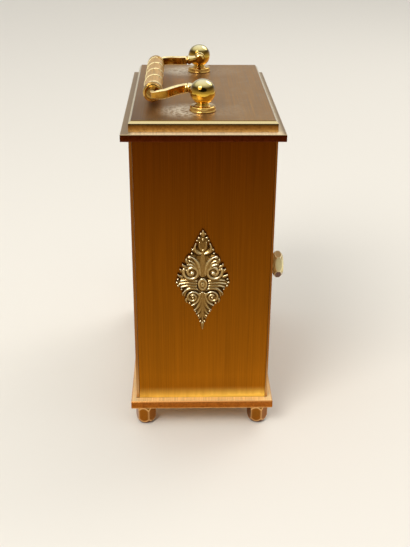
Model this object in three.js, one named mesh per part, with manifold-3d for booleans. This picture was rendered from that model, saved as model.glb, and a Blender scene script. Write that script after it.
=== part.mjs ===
// A small brass officer's clock: a plated case on four hexagonal feet, a folding bail handle between
// two ball posts, an applied lozenge ornament on each side, a glazed dial and a hinged rear door.
// Millimetres, +Z up. The dial faces -Y, the rear door faces +Y, the table is z = 0.

import * as THREE from 'three';
import { mergeVertices } from 'three/addons/utils/BufferGeometryUtils.js';
import Module from 'manifold-3d';

const wasm = await Module();
wasm.setup();

// Case

const bodyWidth = 93.2;
const bodyDepth = 50;
const bodyHeight = 101.6;
const panelThickness = 2;

const baseThickness = 3.3;
const baseOverhangSide = 2.95;
const baseOverhangFront = 2;
const baseChamfer = 0.3;

const lowerTopThickness = 2.5;
const topOverhangSide = 1.55;
const topOverhangFront = 2.7;
const lowerTopChamfer = 0.15;

const upperTopThickness = 3.8;
const topStep = 2.68;
const upperTopChamfer = 0.9;
const upperTopFoot = 0.15;

const grooveDepth = 0.6;

// Clearances

const seatGap = 0.05;
const slotGap = 0.15;
const runningGap = 0.12;
const cutOverrun = 1;

// Feet

const footAcrossFlats = 7;
const footHeight = 8.3;
const footInset = 1.8;
const footCrown = 0.75;
const footStudRadius = 1.5;
const footStudShare = 0.62;
const footTurns = { front_left: 8, front_right: 13, rear_left: -6, rear_right: 3 };

// Pillars between the base and the lower top plate

const pillarRadius = 2.5;
const pillarFrontX = 37.5;
const pillarRearX = 41.5;
const pillarRearInset = 7;
const pillarSpigotRadius = 1.4;
const pillarSpigotShare = 0.55;
const pillarBore = 1.3;
const pillarBoreDepth = 7;
const topScrewHead = 2.5;
const topScrewShank = 1.15;
const topScrewLength = 8;
const topScrewHeadDepth = 1.4;

// Front frame, glass and dial

const frameThickness = 1;
const frameMargin = 6.5;
const windowBevel = 0.45;
const glassThickness = 2;
const glassOverlap = 4.2;
const glassBevel = 7.7;
const glassBevelDrop = 0.8;
const surroundDepth = 8;
const surroundStep = 0.9;
const dialPlateThickness = 1;
const dialEdge = 1.45;
const dialDiscThickness = 0.8;
const dialRingWidth = 2.4;
const dialRingHeight = 1.8;
const dialScrewHead = 1.6;
const dialScrewHeadDepth = 0.9;
const dialScrewShank = 0.8;
const dialScrewDepth = 5;
const dialScrewRise = 36;

// Movement, battery and hands

const movementWidth = 56;
const movementDepth = 16;
const movementCorner = 3;
const bushRadius = 3.9;
const bushProud = 0.6;
const movementNutAcrossFlats = 11;
const movementNutThickness = 2;
const coverInset = 1;
const coverThickness = 1;
const coverCorner = 2;
const batteryRadius = 7.15;
const batteryLength = 50.5;
const batteryNubRadius = 2.75;
const batteryNubHeight = 1;
const batteryEdge = 0.6;
const batteryDrop = 17;
const batteryInset = 0.3;
const batteryEndRoom = 1.3;
const contactThickness = 0.4;
const contactWidth = 8;
const contactHeight = 9;
const springBaseRadius = 3.6;
const springTipRadius = 2.2;
const hourPipeRadius = 2.5;
const hourPipeWall = 0.75;
const hourPipeSink = 3;
const arborRadius = 1.5;
const arborSink = 8;
const handThickness = 0.45;
const handSpacing = 0.9;
const hourHandLength = 20;
const hourHandTail = 4;
const hourHandWidth = 5.6;
const minuteHandLength = 31;
const minuteHandTail = 6;
const minuteHandWidth = 3.4;
const handHubRadius = 3.6;
const handStemWidth = 1.1;
const handNutRadius = 2.5;
const handNutHeight = 1.8;
const settingKnobRadius = 6;
const settingKnobThickness = 3.2;
const settingKnobHubRadius = 3.2;
const settingKnobGap = 0.6;
const settingKnobFlute = 0.35;
const settingShaftRadius = 1.5;
const settingShaftSink = 3.5;
const hourHandTurn = -55;
const minuteHandTurn = 60;

// Rear frame and door

const rearFlange = 0.7;
const rearFrameThickness = 2.5;
const rearMargin = 6.2;
const doorThickness = 2;
const doorGap = 0.4;
const doorAxisSetback = 0.3;
const doorPinRadius = 0.6;
const doorPinReach = 4;
const doorKnobAcrossFlats = 9.6;
const doorKnobThickness = 3.2;
const doorKnobCrown = 0.7;
const doorKnobStemRadius = 2.4;
const doorKnobStemLength = 1.2;
const doorKnobEdge = 5.2;
const doorKnobStudRadius = 1.5;
const doorNutAcrossFlats = 5.5;
const doorNutThickness = 2.2;
const catchRise = 22;
const catchWidth = 8;
const catchThickness = 0.45;
const catchFoot = 3.4;
const catchReach = 1.8;

// Ball posts and bail handle

const postSpacing = 63.4;
const ballRadius = 4.2;
const ballRise = 6.7;
const postFlangeRadius = 4.6;
const postFlangeHeight = 1.9;
const postFlangeRound = 0.35;
const postNeckRadius = 2.2;
const postBeadRadius = 2.7;
const postBeadHeight = 0.6;
const postStudRadius = 1.5;
const postNutAcrossFlats = 5.5;
const postNutThickness = 2.4;
const postStudProud = 0.6;
const pivotBossRadius = 1.9;
const pivotBossProud = 1.45;
const pivotScrewRadius = 0.9;
const pivotScrewHead = 1.75;
const pivotScrewHeadDepth = 0.8;
const pivotScrewDepth = 3;

const eyeRadius = 2.2;
const eyeThickness = 1.8;
const gripReach = 17.5;
const gripDrop = 2.2;
const gripHalfLength = 25.2;
const gripRadius = 3.1;
const gripBeadHeight = 0.32;
const gripBeadWidth = 0.95;
const gripPitch = 10.7;
const collarLength = 3.4;
const collarRadius = 3.35;
const collarGroove = 0.35;
const collarRim = 0.5;
const armHeight = 3.4;
const armThickness = 1.5;
const armChamfer = 0.35;
const armBow = 3.3;
const armNeckRadius = 1.2;
const armCollarRadius = 1.75;
const armGrooveRadius = 1.25;
const armGrooveLength = 0.45;
const armTenonRadius = 0.9;
const armTenonLength = 6;

// Side ornament

const ornamentWidth = 19.4;
const ornamentRise = 21.1;
const ornamentFall = 18.4;
const ornamentDrop = 2;
const ornamentWeb = 0.55;
const ornamentRelief = 1.05;
const ornamentPinRadius = 0.6;

// How round the round pieces are

const fineSegments = 32;
const roundSegments = 18;
const smallSegments = 10;
const gripSides = 16;
const crownSegments = 24;
const cornerSegments = 3;
const knobFlutes = 12;
const ringSteps = 4;
const ballSteps = 8;

// Finishes

const finishes = {
  brushedBrass: { color: 0xa8702c, roughness: 0.42, metalness: 1 },
  polishedBrass: { color: 0xd8a545, roughness: 0.14, metalness: 1 },
  satinBrass: { color: 0xb98d54, roughness: 0.38, metalness: 1 },
  antiqueBrass: { color: 0xb59a5c, roughness: 0.32, metalness: 1 },
  steel: { color: 0xa9adb0, roughness: 0.3, metalness: 1 },
  glass: { color: 0xf4f8f6, roughness: 0.03, metalness: 0, transparent: true, opacity: 0.3 },
  enamel: { color: 0xf3efe2, roughness: 0.35, metalness: 0 },
  blackPlastic: { color: 0x1b1b1d, roughness: 0.55, metalness: 0 },
  greyPlastic: { color: 0x3a3b3e, roughness: 0.5, metalness: 0 },
  blackHand: { color: 0x111112, roughness: 0.3, metalness: 0.4 },
  cellJacket: { color: 0x2f5d46, roughness: 0.4, metalness: 0.2 },
};

// Levels above the table

const baseLevel = footHeight + seatGap;
const bodyLevel = baseLevel + baseThickness;
const lowerTopLevel = bodyLevel + bodyHeight;
const upperTopLevel = lowerTopLevel + lowerTopThickness + seatGap;
const topFace = upperTopLevel + upperTopThickness;
const dialLevel = bodyLevel + bodyHeight / 2;
const pivotLevel = topFace + seatGap + ballRise;

// Outlines of the plates

const baseWidth = bodyWidth + 2 * baseOverhangSide;
const baseDepth = bodyDepth + 2 * baseOverhangFront;
const lowerTopWidth = bodyWidth + 2 * topOverhangSide;
const lowerTopDepth = bodyDepth + 2 * topOverhangFront;
const upperTopWidth = lowerTopWidth - 2 * topStep;
const upperTopDepth = lowerTopDepth - 2 * topStep;
const panelHeight = bodyHeight + 2 * (grooveDepth - seatGap);
const innerWidth = bodyWidth - 2 * (panelThickness + slotGap);
const innerHeight = bodyHeight - 2 * seatGap;

// Distances from the middle of the case towards the dial

const caseFront = bodyDepth / 2;
const frameBack = caseFront - frameThickness;
const glassBack = frameBack - seatGap - glassThickness;
const surroundBack = glassBack - seatGap - surroundDepth;
const dialFront = surroundBack - seatGap;
const dialBack = dialFront - dialPlateThickness;
const movementFront = dialBack - seatGap;
const movementBack = movementFront - movementDepth;
const coverBack = movementBack - seatGap - coverThickness;
const bushFront = dialFront + seatGap + movementNutThickness + bushProud;
const hourHandBack = bushFront + handSpacing;
const hourHandFront = hourHandBack + handThickness;
const minuteHandBack = hourHandFront + handSpacing;
const minuteHandFront = minuteHandBack + handThickness;
const rearFace = -bodyDepth / 2;
const doorBack = rearFace + doorThickness;

// The whole stands with the middle of its outline over the origin

const rearReach = bodyDepth / 2 + seatGap + doorKnobStemLength + doorKnobThickness;
const frontReach = lowerTopDepth / 2;
const centreShift = (frontReach - rearReach) / 2;

const quarterTurn = Math.PI / 2;
const radians = THREE.MathUtils.degToRad;

// Solids

function outward(geometry) {
  const position = geometry.attributes.position;
  const index = geometry.index.array;
  const a = new THREE.Vector3();
  const b = new THREE.Vector3();
  const c = new THREE.Vector3();
  let volume = 0;
  for (let i = 0; i < index.length; i += 3) {
    a.fromBufferAttribute(position, index[i]);
    b.fromBufferAttribute(position, index[i + 1]);
    c.fromBufferAttribute(position, index[i + 2]);
    volume += a.dot(b.cross(c));
  }
  if (volume < 0) {
    for (let i = 0; i < index.length; i += 3) {
      [index[i + 1], index[i + 2]] = [index[i + 2], index[i + 1]];
    }
  }
  return geometry;
}

// One closed skin: shared vertices merged, faces without area left out, faces pointing out
function closed(geometry) {
  const bare = geometry.clone();
  for (const name of Object.keys(bare.attributes)) {
    if (name !== 'position') bare.deleteAttribute(name);
  }
  const merged = mergeVertices(bare);
  const kept = [];
  const index = merged.index.array;
  for (let i = 0; i < index.length; i += 3) {
    const [a, b, c] = [index[i], index[i + 1], index[i + 2]];
    if (a !== b && b !== c && c !== a) kept.push(a, b, c);
  }
  merged.setIndex(kept);
  return outward(merged);
}

function toSolid(geometry) {
  const skin = closed(geometry);
  return new wasm.Manifold(new wasm.Mesh({
    numProp: 3,
    vertProperties: new Float32Array(skin.attributes.position.array),
    triVerts: new Uint32Array(skin.index.array),
  }));
}

function toGeometry(solid) {
  const mesh = solid.getMesh();
  const geometry = new THREE.BufferGeometry();
  geometry.setAttribute('position', new THREE.BufferAttribute(new Float32Array(mesh.vertProperties), 3));
  geometry.setIndex(new THREE.BufferAttribute(new Uint32Array(mesh.triVerts), 1));
  return geometry;
}

function join(...geometries) {
  const solids = geometries.map(toSolid);
  return toGeometry(solids.reduce((whole, next) => whole.add(next)));
}

function cut(geometry, ...tools) {
  const solids = tools.map(toSolid);
  return toGeometry(solids.reduce((rest, tool) => rest.subtract(tool), toSolid(geometry)));
}

function common(first, second) {
  return toGeometry(toSolid(first).intersect(toSolid(second)));
}

function at(geometry, x, y, z) {
  return geometry.clone().translate(x, y, z);
}

// The mirror image across the plane x = 0
function mirrored(geometry) {
  return outward(geometry.clone().scale(-1, 1, 1));
}

// A solid of revolution about +Z from [radius, height] points
function revolve(profile, segments = roundSegments) {
  const points = profile.map(([radius, height]) => new THREE.Vector2(radius, height));
  return closed(new THREE.LatheGeometry(points, segments).rotateX(quarterTurn));
}

function rod(radius, bottom, top, segments = smallSegments) {
  return revolve([[0, bottom], [radius, bottom], [radius, top], [0, top]], segments);
}

function tube(outer, inner, bottom, top, segments = roundSegments) {
  return revolve([[inner, bottom], [outer, bottom], [outer, top], [inner, top], [inner, bottom]], segments);
}

// A rod from z = 0 lying along +X or +Y instead
function rodAlongX(radius, from, to, segments = smallSegments) {
  return rod(radius, from, to, segments).rotateY(quarterTurn);
}

function rodAlongY(radius, from, to, segments = smallSegments) {
  return rod(radius, -to, -from, segments).rotateX(quarterTurn);
}

function box(width, depth, height) {
  return closed(new THREE.BoxGeometry(width, depth, height));
}

function extrude(shape, bottom, top, curveSegments = 6) {
  const settings = { depth: top - bottom, bevelEnabled: false, curveSegments };
  return closed(new THREE.ExtrudeGeometry(shape, settings)).translate(0, 0, bottom);
}

// A skin over rings of equal count, with flat ends
function loft(rings) {
  const count = rings[0].length;
  const position = [];
  for (const point of rings.flat()) position.push(point.x, point.y, point.z);
  const index = [];
  for (let ring = 0; ring + 1 < rings.length; ring += 1) {
    for (let i = 0; i < count; i += 1) {
      const next = (i + 1) % count;
      const [a, b] = [ring * count + i, ring * count + next];
      const [c, d] = [a + count, b + count];
      index.push(a, b, c, b, d, c);
    }
  }
  const last = (rings.length - 1) * count;
  for (let i = 1; i + 1 < count; i += 1) {
    index.push(0, i + 1, i);
    index.push(last, last + i, last + i + 1);
  }
  const geometry = new THREE.BufferGeometry();
  geometry.setAttribute('position', new THREE.Float32BufferAttribute(position, 3));
  geometry.setIndex(index);
  return outward(geometry);
}

function rectangleRing(width, height, level) {
  const [x, y] = [width / 2, height / 2];
  return [[x, y], [-x, y], [-x, -y], [x, -y]].map((corner) => new THREE.Vector3(...corner, level));
}

// A rectangular plate on z = 0 with its lower and upper edges chamfered
function plate(width, height, thickness, lower, upper) {
  const rings = [];
  if (lower.inset > 0) rings.push(rectangleRing(width - 2 * lower.inset, height - 2 * lower.inset, 0));
  rings.push(rectangleRing(width, height, lower.drop));
  rings.push(rectangleRing(width, height, thickness - upper.drop));
  if (upper.inset > 0) {
    rings.push(rectangleRing(width - 2 * upper.inset, height - 2 * upper.inset, thickness));
  }
  return loft(rings);
}

function chamfer(size) {
  return { inset: size, drop: size };
}

const square = chamfer(0);

function rectangle(width, height, radius = 0) {
  const shape = new THREE.Shape();
  const [x, y] = [width / 2, height / 2];
  if (radius === 0) {
    shape.moveTo(-x, -y);
    shape.lineTo(x, -y);
    shape.lineTo(x, y);
    shape.lineTo(-x, y);
    return shape;
  }
  shape.moveTo(-x + radius, -y);
  shape.absarc(x - radius, -y + radius, radius, -quarterTurn, 0, false);
  shape.absarc(x - radius, y - radius, radius, 0, quarterTurn, false);
  shape.absarc(-x + radius, y - radius, radius, quarterTurn, 2 * quarterTurn, false);
  shape.absarc(-x + radius, -y + radius, radius, 2 * quarterTurn, 3 * quarterTurn, false);
  return shape;
}

function circle(x, y, radius) {
  return new THREE.Path().absarc(x, y, radius, 0, 2 * Math.PI, true);
}

function framed(outerWidth, outerHeight, innerW, innerH) {
  const shape = rectangle(outerWidth, outerHeight);
  shape.holes.push(rectangle(innerW, innerH));
  return shape;
}

function hexagon(acrossFlats) {
  const shape = new THREE.Shape();
  const corner = acrossFlats / Math.sqrt(3);
  for (let i = 0; i < 6; i += 1) {
    const angle = (i * Math.PI) / 3;
    const [x, y] = [corner * Math.cos(angle), corner * Math.sin(angle)];
    if (i === 0) shape.moveTo(x, y);
    else shape.lineTo(x, y);
  }
  return shape;
}

// A hexagonal prism turned down at both ends, so that its flats end in arcs. Its corners lie on +-X
function crownedHexagon(acrossFlats, height, crown) {
  const corner = acrossFlats / Math.sqrt(3);
  const flat = acrossFlats / 2;
  const end = corner - crown * Math.sqrt(3);
  const turned = revolve([
    [0, 0],
    [Math.min(end, flat), 0],
    [corner, crown],
    [corner, height - crown],
    [Math.min(end, flat), height],
    [0, height],
  ], crownSegments);
  return common(extrude(hexagon(acrossFlats), 0, height), turned);
}

function hexNut(acrossFlats, thickness, bore) {
  const shape = hexagon(acrossFlats);
  shape.holes.push(circle(0, 0, bore));
  return extrude(shape, 0, thickness, roundSegments / 2);
}

// Adds a named piece with its own material to a group
function add(group, name, geometry, finish, [x, y, z] = [0, 0, 0], turn = 0) {
  const mesh = new THREE.Mesh(geometry, new THREE.MeshStandardMaterial(finishes[finish]));
  mesh.name = name;
  mesh.position.set(x, y, z);
  mesh.rotation.z = turn;
  mesh.geometry.computeVertexNormals();
  group.add(mesh);
  return mesh;
}

const sides = { left: -1, right: 1 };
const corners = {
  front_left: [-1, -1],
  front_right: [1, -1],
  rear_left: [-1, 1],
  rear_right: [1, 1],
};

function pillarPlace([sideX, sideY]) {
  const behindDial = -(dialBack - slotGap - pillarRadius);
  const beforeDoor = bodyDepth / 2 - pillarRearInset;
  return sideY < 0 ? [sideX * pillarFrontX, behindDial] : [sideX * pillarRearX, beforeDoor];
}

// A ring cut round the foot or the head of the case walls
function wallGroove(bottom, top) {
  const outer = box(bodyWidth + 2 * slotGap, bodyDepth + 2 * slotGap, top - bottom);
  const front = frameThickness + slotGap;
  const rear = rearFlange + slotGap;
  const core = box(innerWidth, bodyDepth - front - rear, top - bottom + 2 * cutOverrun);
  return at(cut(outer, at(core, 0, (front - rear) / 2, 0)), 0, 0, (bottom + top) / 2);
}

// Base and feet

function footPlace([sideX, sideY]) {
  const inset = footInset + footAcrossFlats / 2;
  return [sideX * (baseWidth / 2 - inset), sideY * (baseDepth / 2 - inset)];
}

function basePlate() {
  const slab = plate(baseWidth, baseDepth, baseThickness, chamfer(baseChamfer), chamfer(baseChamfer));
  const holes = [wallGroove(baseThickness - grooveDepth, baseThickness + cutOverrun)];
  const spigotFloor = baseThickness * (1 - pillarSpigotShare) - slotGap;
  for (const corner of Object.values(corners)) {
    const stud = rod(footStudRadius + slotGap, -cutOverrun, baseThickness * footStudShare + slotGap);
    holes.push(at(stud, ...footPlace(corner), 0));
    const spigot = rod(pillarSpigotRadius + slotGap, spigotFloor, baseThickness + cutOverrun);
    holes.push(at(spigot, ...pillarPlace(corner), 0));
  }
  return cut(slab, ...holes);
}

function foot() {
  const nut = crownedHexagon(footAcrossFlats, footHeight, footCrown);
  const stud = rod(footStudRadius, footHeight / 2, baseLevel + baseThickness * footStudShare);
  return join(nut, stud);
}

// Pillars, from the top of the base to the underside of the lower top plate

function pillar() {
  const top = bodyHeight - seatGap;
  const foot = seatGap - baseThickness * pillarSpigotShare;
  return revolve([
    [0, foot],
    [pillarSpigotRadius, foot],
    [pillarSpigotRadius, seatGap],
    [pillarRadius, seatGap],
    [pillarRadius, top],
    [pillarBore, top],
    [pillarBore, top - pillarBoreDepth],
    [0, top - pillarBoreDepth],
  ], smallSegments);
}

// The countersunk screw hangs from z = 0
function topScrew() {
  const reach = Math.min(topScrewLength, lowerTopThickness + pillarBoreDepth - slotGap);
  const head = Math.min(topScrewHeadDepth, lowerTopThickness / 2);
  return revolve([
    [0, -reach],
    [topScrewShank, -reach],
    [topScrewShank, -head],
    [topScrewHead, 0],
    [0, 0],
  ], smallSegments);
}

function topScrewSink() {
  const head = Math.min(topScrewHeadDepth, lowerTopThickness / 2);
  const slope = (topScrewHead - topScrewShank) / head;
  return revolve([
    [0, -lowerTopThickness - cutOverrun],
    [topScrewShank + slotGap, -lowerTopThickness - cutOverrun],
    [topScrewShank + slotGap, -head],
    [topScrewHead + slotGap, 0],
    [topScrewHead + slotGap + slope * cutOverrun, cutOverrun],
    [0, cutOverrun],
  ], smallSegments);
}

// Top plates, their undersides on z = 0

function studHole(bottom, top) {
  return rod(postStudRadius + slotGap, bottom - cutOverrun, top + cutOverrun);
}

function lowerTopPlate() {
  const edge = chamfer(lowerTopChamfer);
  const slab = plate(lowerTopWidth, lowerTopDepth, lowerTopThickness, edge, edge);
  const holes = [wallGroove(-cutOverrun, grooveDepth)];
  for (const corner of Object.values(corners)) {
    holes.push(at(topScrewSink(), ...pillarPlace(corner), lowerTopThickness));
  }
  for (const side of Object.values(sides)) {
    holes.push(at(studHole(0, lowerTopThickness), (side * postSpacing) / 2, 0, 0));
  }
  return cut(slab, ...holes);
}

function upperTopPlate() {
  const upper = chamfer(upperTopChamfer);
  const slab = plate(upperTopWidth, upperTopDepth, upperTopThickness, chamfer(upperTopFoot), upper);
  const holes = Object.values(sides).map((side) => (
    at(studHole(0, upperTopThickness), (side * postSpacing) / 2, 0, 0)
  ));
  return cut(slab, ...holes);
}

// Side panels and ornaments, drawn from outside: x along the wall, y up, z outwards from the inner face

const panelLength = bodyDepth - frameThickness - rearFlange - 2 * slotGap;
const panelOffset = (frameThickness - rearFlange) / 2;
const ornamentPinShares = [0.45, -0.45];

function ornamentPinPlace(share) {
  return share * (share > 0 ? ornamentRise : ornamentFall) - ornamentDrop;
}

function sidePanel(sideX) {
  const slab = box(panelLength, panelHeight, panelThickness);
  const wall = at(slab, sideX * panelOffset, 0, panelThickness / 2);
  const drill = rod(ornamentPinRadius + slotGap, -cutOverrun, panelThickness + cutOverrun);
  return cut(wall, ...ornamentPinShares.map((share) => at(drill, 0, ornamentPinPlace(share), 0)));
}

// Leaves of the ornament's right half: middle x and y, half length, half width, height, and the way
// each leaf points in degrees. x and widths go by half the width, y by the rise or the fall, lengths
// by the rise and heights by the relief.
const leafShares = [
  [0, 0.93, 0.07, 0.07, 0.5, 90],
  [0.1, 0.82, 0.055, 0.1, 0.7, 72],
  [0.21, 0.7, 0.06, 0.12, 0.8, 62],
  [0.33, 0.59, 0.065, 0.13, 0.8, 55],
  [0.1, 0.58, 0.07, 0.08, 0.6, 80],
  [0.31, 0.41, 0.13, 0.13, 1, 54],
  [0.45, 0.34, 0.1, 0.12, 0.9, 36],
  [0.6, 0.38, 0.05, 0.11, 0.7, 58],
  [0.73, 0.26, 0.055, 0.11, 0.7, 52],
  [0.84, 0.16, 0.055, 0.1, 0.7, 40],
  [0.91, 0.03, 0.045, 0.13, 0.8, 0],
  [0.46, 0.02, 0.17, 0.08, 0.6, 2],
  [0.78, -0.12, 0.055, 0.11, 0.7, -35],
  [0.66, -0.25, 0.055, 0.11, 0.7, -52],
  [0.54, -0.37, 0.055, 0.11, 0.7, -56],
  [0.41, -0.49, 0.06, 0.11, 0.7, -58],
  [0.29, -0.61, 0.055, 0.1, 0.7, -62],
  [0.18, -0.73, 0.05, 0.09, 0.6, -66],
  [0.2, -0.46, 0.08, 0.08, 0.5, -66],
  [0, -0.91, 0.08, 0.06, 0.5, -90],
];

// Scrolls of the right half: eye x and y, outer radius by half the width, turns, start angle
const scrollShares = [
  [0.36, 0.19, 0.3, 1.4, 150],
  [0.37, -0.27, 0.25, 1.4, 50],
];

const scrollSteps = 8;
const scrollSides = 3;
const domeSteps = 3;
const scrollWireShare = 0.065;
const scrollEyeShare = 0.2;
const stemWidthShare = 0.11;
const stemLengthShares = [0.5, -0.5];
const bossWidthShare = 0.19;
const bossHeightShare = 0.27;
const webShare = 0.93;
const webTipShares = [[0, 1], [-1, 0.02], [0, -1], [1, 0.02]];

// A leaf's corners, tip first, by its half length, half width and height: the rim, then the ridge
const leafCornerShares = [
  [1, 0, 0],
  [0.35, 0.9, 0],
  [-0.5, 0.8, 0],
  [-1, 0, 0],
  [-0.5, -0.8, 0],
  [0.35, -0.9, 0],
  [0.25, 0, 1],
  [-0.55, 0, 0.75],
];
const leafFaces = [
  [0, 1, 6], [5, 0, 6], [1, 2, 6], [2, 7, 6], [2, 3, 7], [3, 4, 7],
  [4, 5, 6], [4, 6, 7], [0, 2, 1], [0, 3, 2], [0, 4, 3], [0, 5, 4],
];

function ornamentPoint(shareX, shareY) {
  const length = shareY > 0 ? ornamentRise : ornamentFall;
  return new THREE.Vector2((shareX * ornamentWidth) / 2, shareY * length);
}

// A leaf with a ridge down its middle, pointing along +x, its rim sunk in the web
function leaf(halfLength, halfWidth, height) {
  const sunk = ornamentWeb / 2;
  const corner = ([x, y, z]) => [x * halfLength, y * halfWidth, z * (height + sunk) - sunk];
  const geometry = new THREE.BufferGeometry();
  const position = leafCornerShares.map(corner).flat();
  geometry.setAttribute('position', new THREE.Float32BufferAttribute(position, 3));
  geometry.setIndex(leafFaces.flat());
  return geometry;
}

// Half an ellipsoid on a short foot sunk in the web
function dome(halfWidth, halfHeight, rise) {
  const profile = [[0, -ornamentWeb / 2], [1, -ornamentWeb / 2]];
  for (let i = 0; i <= domeSteps; i += 1) {
    const angle = (quarterTurn * i) / domeSteps;
    profile.push([i === domeSteps ? 0 : Math.cos(angle), rise * Math.sin(angle)]);
  }
  return revolve(profile, smallSegments).scale(halfWidth, halfHeight, 1);
}

function ornamentWebShape() {
  const shape = new THREE.Shape();
  webTipShares.forEach(([x, y], i) => {
    const point = ornamentPoint(x * webShare, y * webShare);
    if (i === 0) shape.moveTo(point.x, point.y);
    else shape.lineTo(point.x, point.y);
  });
  return shape;
}

function scroll([eyeX, eyeY, radiusShare, turns, start]) {
  const eye = ornamentPoint(eyeX, eyeY);
  const radius = (radiusShare * ornamentWidth) / 2;
  const wire = (scrollWireShare * ornamentWidth) / 2;
  const level = ornamentWeb / 2 + wire;
  const points = [];
  for (let i = 0; i <= scrollSteps; i += 1) {
    const along = i / scrollSteps;
    const angle = radians(start) + 2 * Math.PI * turns * along;
    const reach = radius * (1 - (1 - scrollEyeShare) * along);
    const [x, y] = [reach * Math.cos(angle), reach * Math.sin(angle)];
    points.push(new THREE.Vector3(eye.x + x, eye.y + y, level));
  }
  const section = new THREE.Shape();
  for (let i = 0; i < scrollSides; i += 1) {
    const angle = (2 * Math.PI * i) / scrollSides;
    const [x, y] = [wire * Math.cos(angle), wire * Math.sin(angle)];
    if (i === 0) section.moveTo(x, y);
    else section.lineTo(x, y);
  }
  const course = new THREE.CatmullRomCurve3(points);
  return closed(new THREE.ExtrudeGeometry(section, { steps: scrollSteps, extrudePath: course }));
}

// Web, leaves, scrolls, boss and two pins in one casting. Its back lies on z = 0
function ornament() {
  const halfWidth = ornamentWidth / 2;
  const parts = [extrude(ornamentWebShape(), 0, ornamentWeb)];
  for (const [x, y, length, width, height, angle] of leafShares) {
    const middle = ornamentPoint(x, y);
    const shape = leaf(length * ornamentRise, width * halfWidth, height * ornamentRelief);
    for (const side of x === 0 ? [1] : [1, -1]) {
      const turn = side > 0 ? radians(angle) : Math.PI - radians(angle);
      parts.push(at(shape.clone().rotateZ(turn), side * middle.x, middle.y, ornamentWeb));
    }
  }
  for (const shares of scrollShares) parts.push(scroll(shares), mirrored(scroll(shares)));
  for (const share of stemLengthShares) {
    const reach = ornamentPoint(0, share).y;
    const stem = leaf(Math.abs(reach), stemWidthShare * halfWidth, ornamentRelief / 2);
    parts.push(at(stem.rotateZ(Math.sign(share) * quarterTurn), 0, reach, ornamentWeb));
  }
  const boss = dome(bossWidthShare * halfWidth, bossHeightShare * halfWidth, ornamentRelief);
  parts.push(at(boss, 0, 0, ornamentWeb));
  const pin = rod(ornamentPinRadius, -(panelThickness - seatGap), ornamentWeb / 2);
  const pins = ornamentPinShares.map((share) => at(pin, 0, ornamentPinPlace(share) + ornamentDrop, 0));
  return join(...parts, ...pins);
}

// Front frame, glass, dial surround and dial, drawn from the front: x right, y up, z to the viewer

const windowWidth = bodyWidth - 2 * frameMargin;
const windowHeight = bodyHeight - 2 * frameMargin;

function frontFrame() {
  const frame = extrude(framed(bodyWidth, panelHeight, windowWidth, windowHeight), 0, frameThickness);
  const bevel = Math.min(windowBevel, frameThickness / 2);
  const wide = 2 * (bevel + cutOverrun);
  const sink = loft([
    rectangleRing(windowWidth, windowHeight, frameThickness - bevel),
    rectangleRing(windowWidth + wide, windowHeight + wide, frameThickness + cutOverrun),
  ]);
  return cut(frame, sink);
}

function frontGlass() {
  const width = Math.min(windowWidth + 2 * glassOverlap, innerWidth);
  const height = Math.min(windowHeight + 2 * glassOverlap, innerHeight);
  return plate(width, height, glassThickness, square, { inset: glassBevel, drop: glassBevelDrop });
}

const surroundWidth = windowWidth + 2 * surroundStep;
const surroundHeight = windowHeight + 2 * surroundStep;
const dialScrewX = (innerWidth + surroundWidth) / 4;
const dialRoom = Math.min(surroundWidth, surroundHeight) / 2;
const dialDiscRadius = dialRoom - dialEdge - dialRingWidth - slotGap;

function dialScrewPlace([sideX, sideY]) {
  return [sideX * dialScrewX, sideY * dialScrewRise];
}

function dialSurround() {
  const ring = extrude(framed(innerWidth, innerHeight, surroundWidth, surroundHeight), 0, surroundDepth);
  const bore = rod(dialScrewShank + slotGap, -cutOverrun, dialScrewDepth + slotGap);
  return cut(ring, ...Object.values(corners).map((corner) => at(bore, ...dialScrewPlace(corner), 0)));
}

function dialPlate() {
  const shape = rectangle(innerWidth, innerHeight);
  shape.holes.push(circle(0, 0, bushRadius + slotGap));
  for (const corner of Object.values(corners)) {
    shape.holes.push(circle(...dialScrewPlace(corner), dialScrewShank + slotGap));
  }
  return extrude(shape, 0, dialPlateThickness, roundSegments / 2);
}

function dialDisc() {
  const bore = movementNutAcrossFlats / Math.sqrt(3) + slotGap;
  return tube(dialDiscRadius, bore, 0, dialDiscThickness, fineSegments);
}

const dialRingWallShare = 0.45;

// A half-round ring about the enamel disc
function dialRing() {
  const inner = dialDiscRadius + slotGap;
  const middle = inner + dialRingWidth / 2;
  const profile = [[inner, 0]];
  for (let i = 0; i <= ringSteps; i += 1) {
    const angle = (Math.PI * i) / ringSteps;
    const lift = dialRingHeight * (dialRingWallShare + (1 - dialRingWallShare) * Math.sin(angle));
    profile.push([middle + (dialRingWidth / 2) * Math.cos(angle), lift]);
  }
  profile.splice(1, 0, [inner + dialRingWidth, 0]);
  profile.push([inner, 0]);
  return revolve(profile, fineSegments);
}

const screwTopShare = 0.68;

// The shank runs towards the front from the head, whose seat is on z = 0
function dialScrew() {
  return revolve([
    [0, -dialScrewHeadDepth],
    [dialScrewHead * screwTopShare, -dialScrewHeadDepth],
    [dialScrewHead, -dialScrewHeadDepth / 2],
    [dialScrewHead, 0],
    [dialScrewShank, 0],
    [dialScrewShank, dialPlateThickness + dialScrewDepth],
    [0, dialPlateThickness + dialScrewDepth],
  ], smallSegments);
}

// Movement, with z = 0 on the middle plane of the case as all pieces of the dial group

const batteryBayRadius = batteryRadius + batteryInset;
const batteryAxis = movementBack + batteryInset + batteryRadius;
const bayLength = batteryLength + 2 * batteryEndRoom;
const bayTop = -batteryDrop + batteryBayRadius;
const shaftBoreRadius = settingShaftRadius + runningGap;
const shaftSocketEnd = movementBack + settingShaftSink + slotGap;
const arborBack = movementFront - arborSink;

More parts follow.
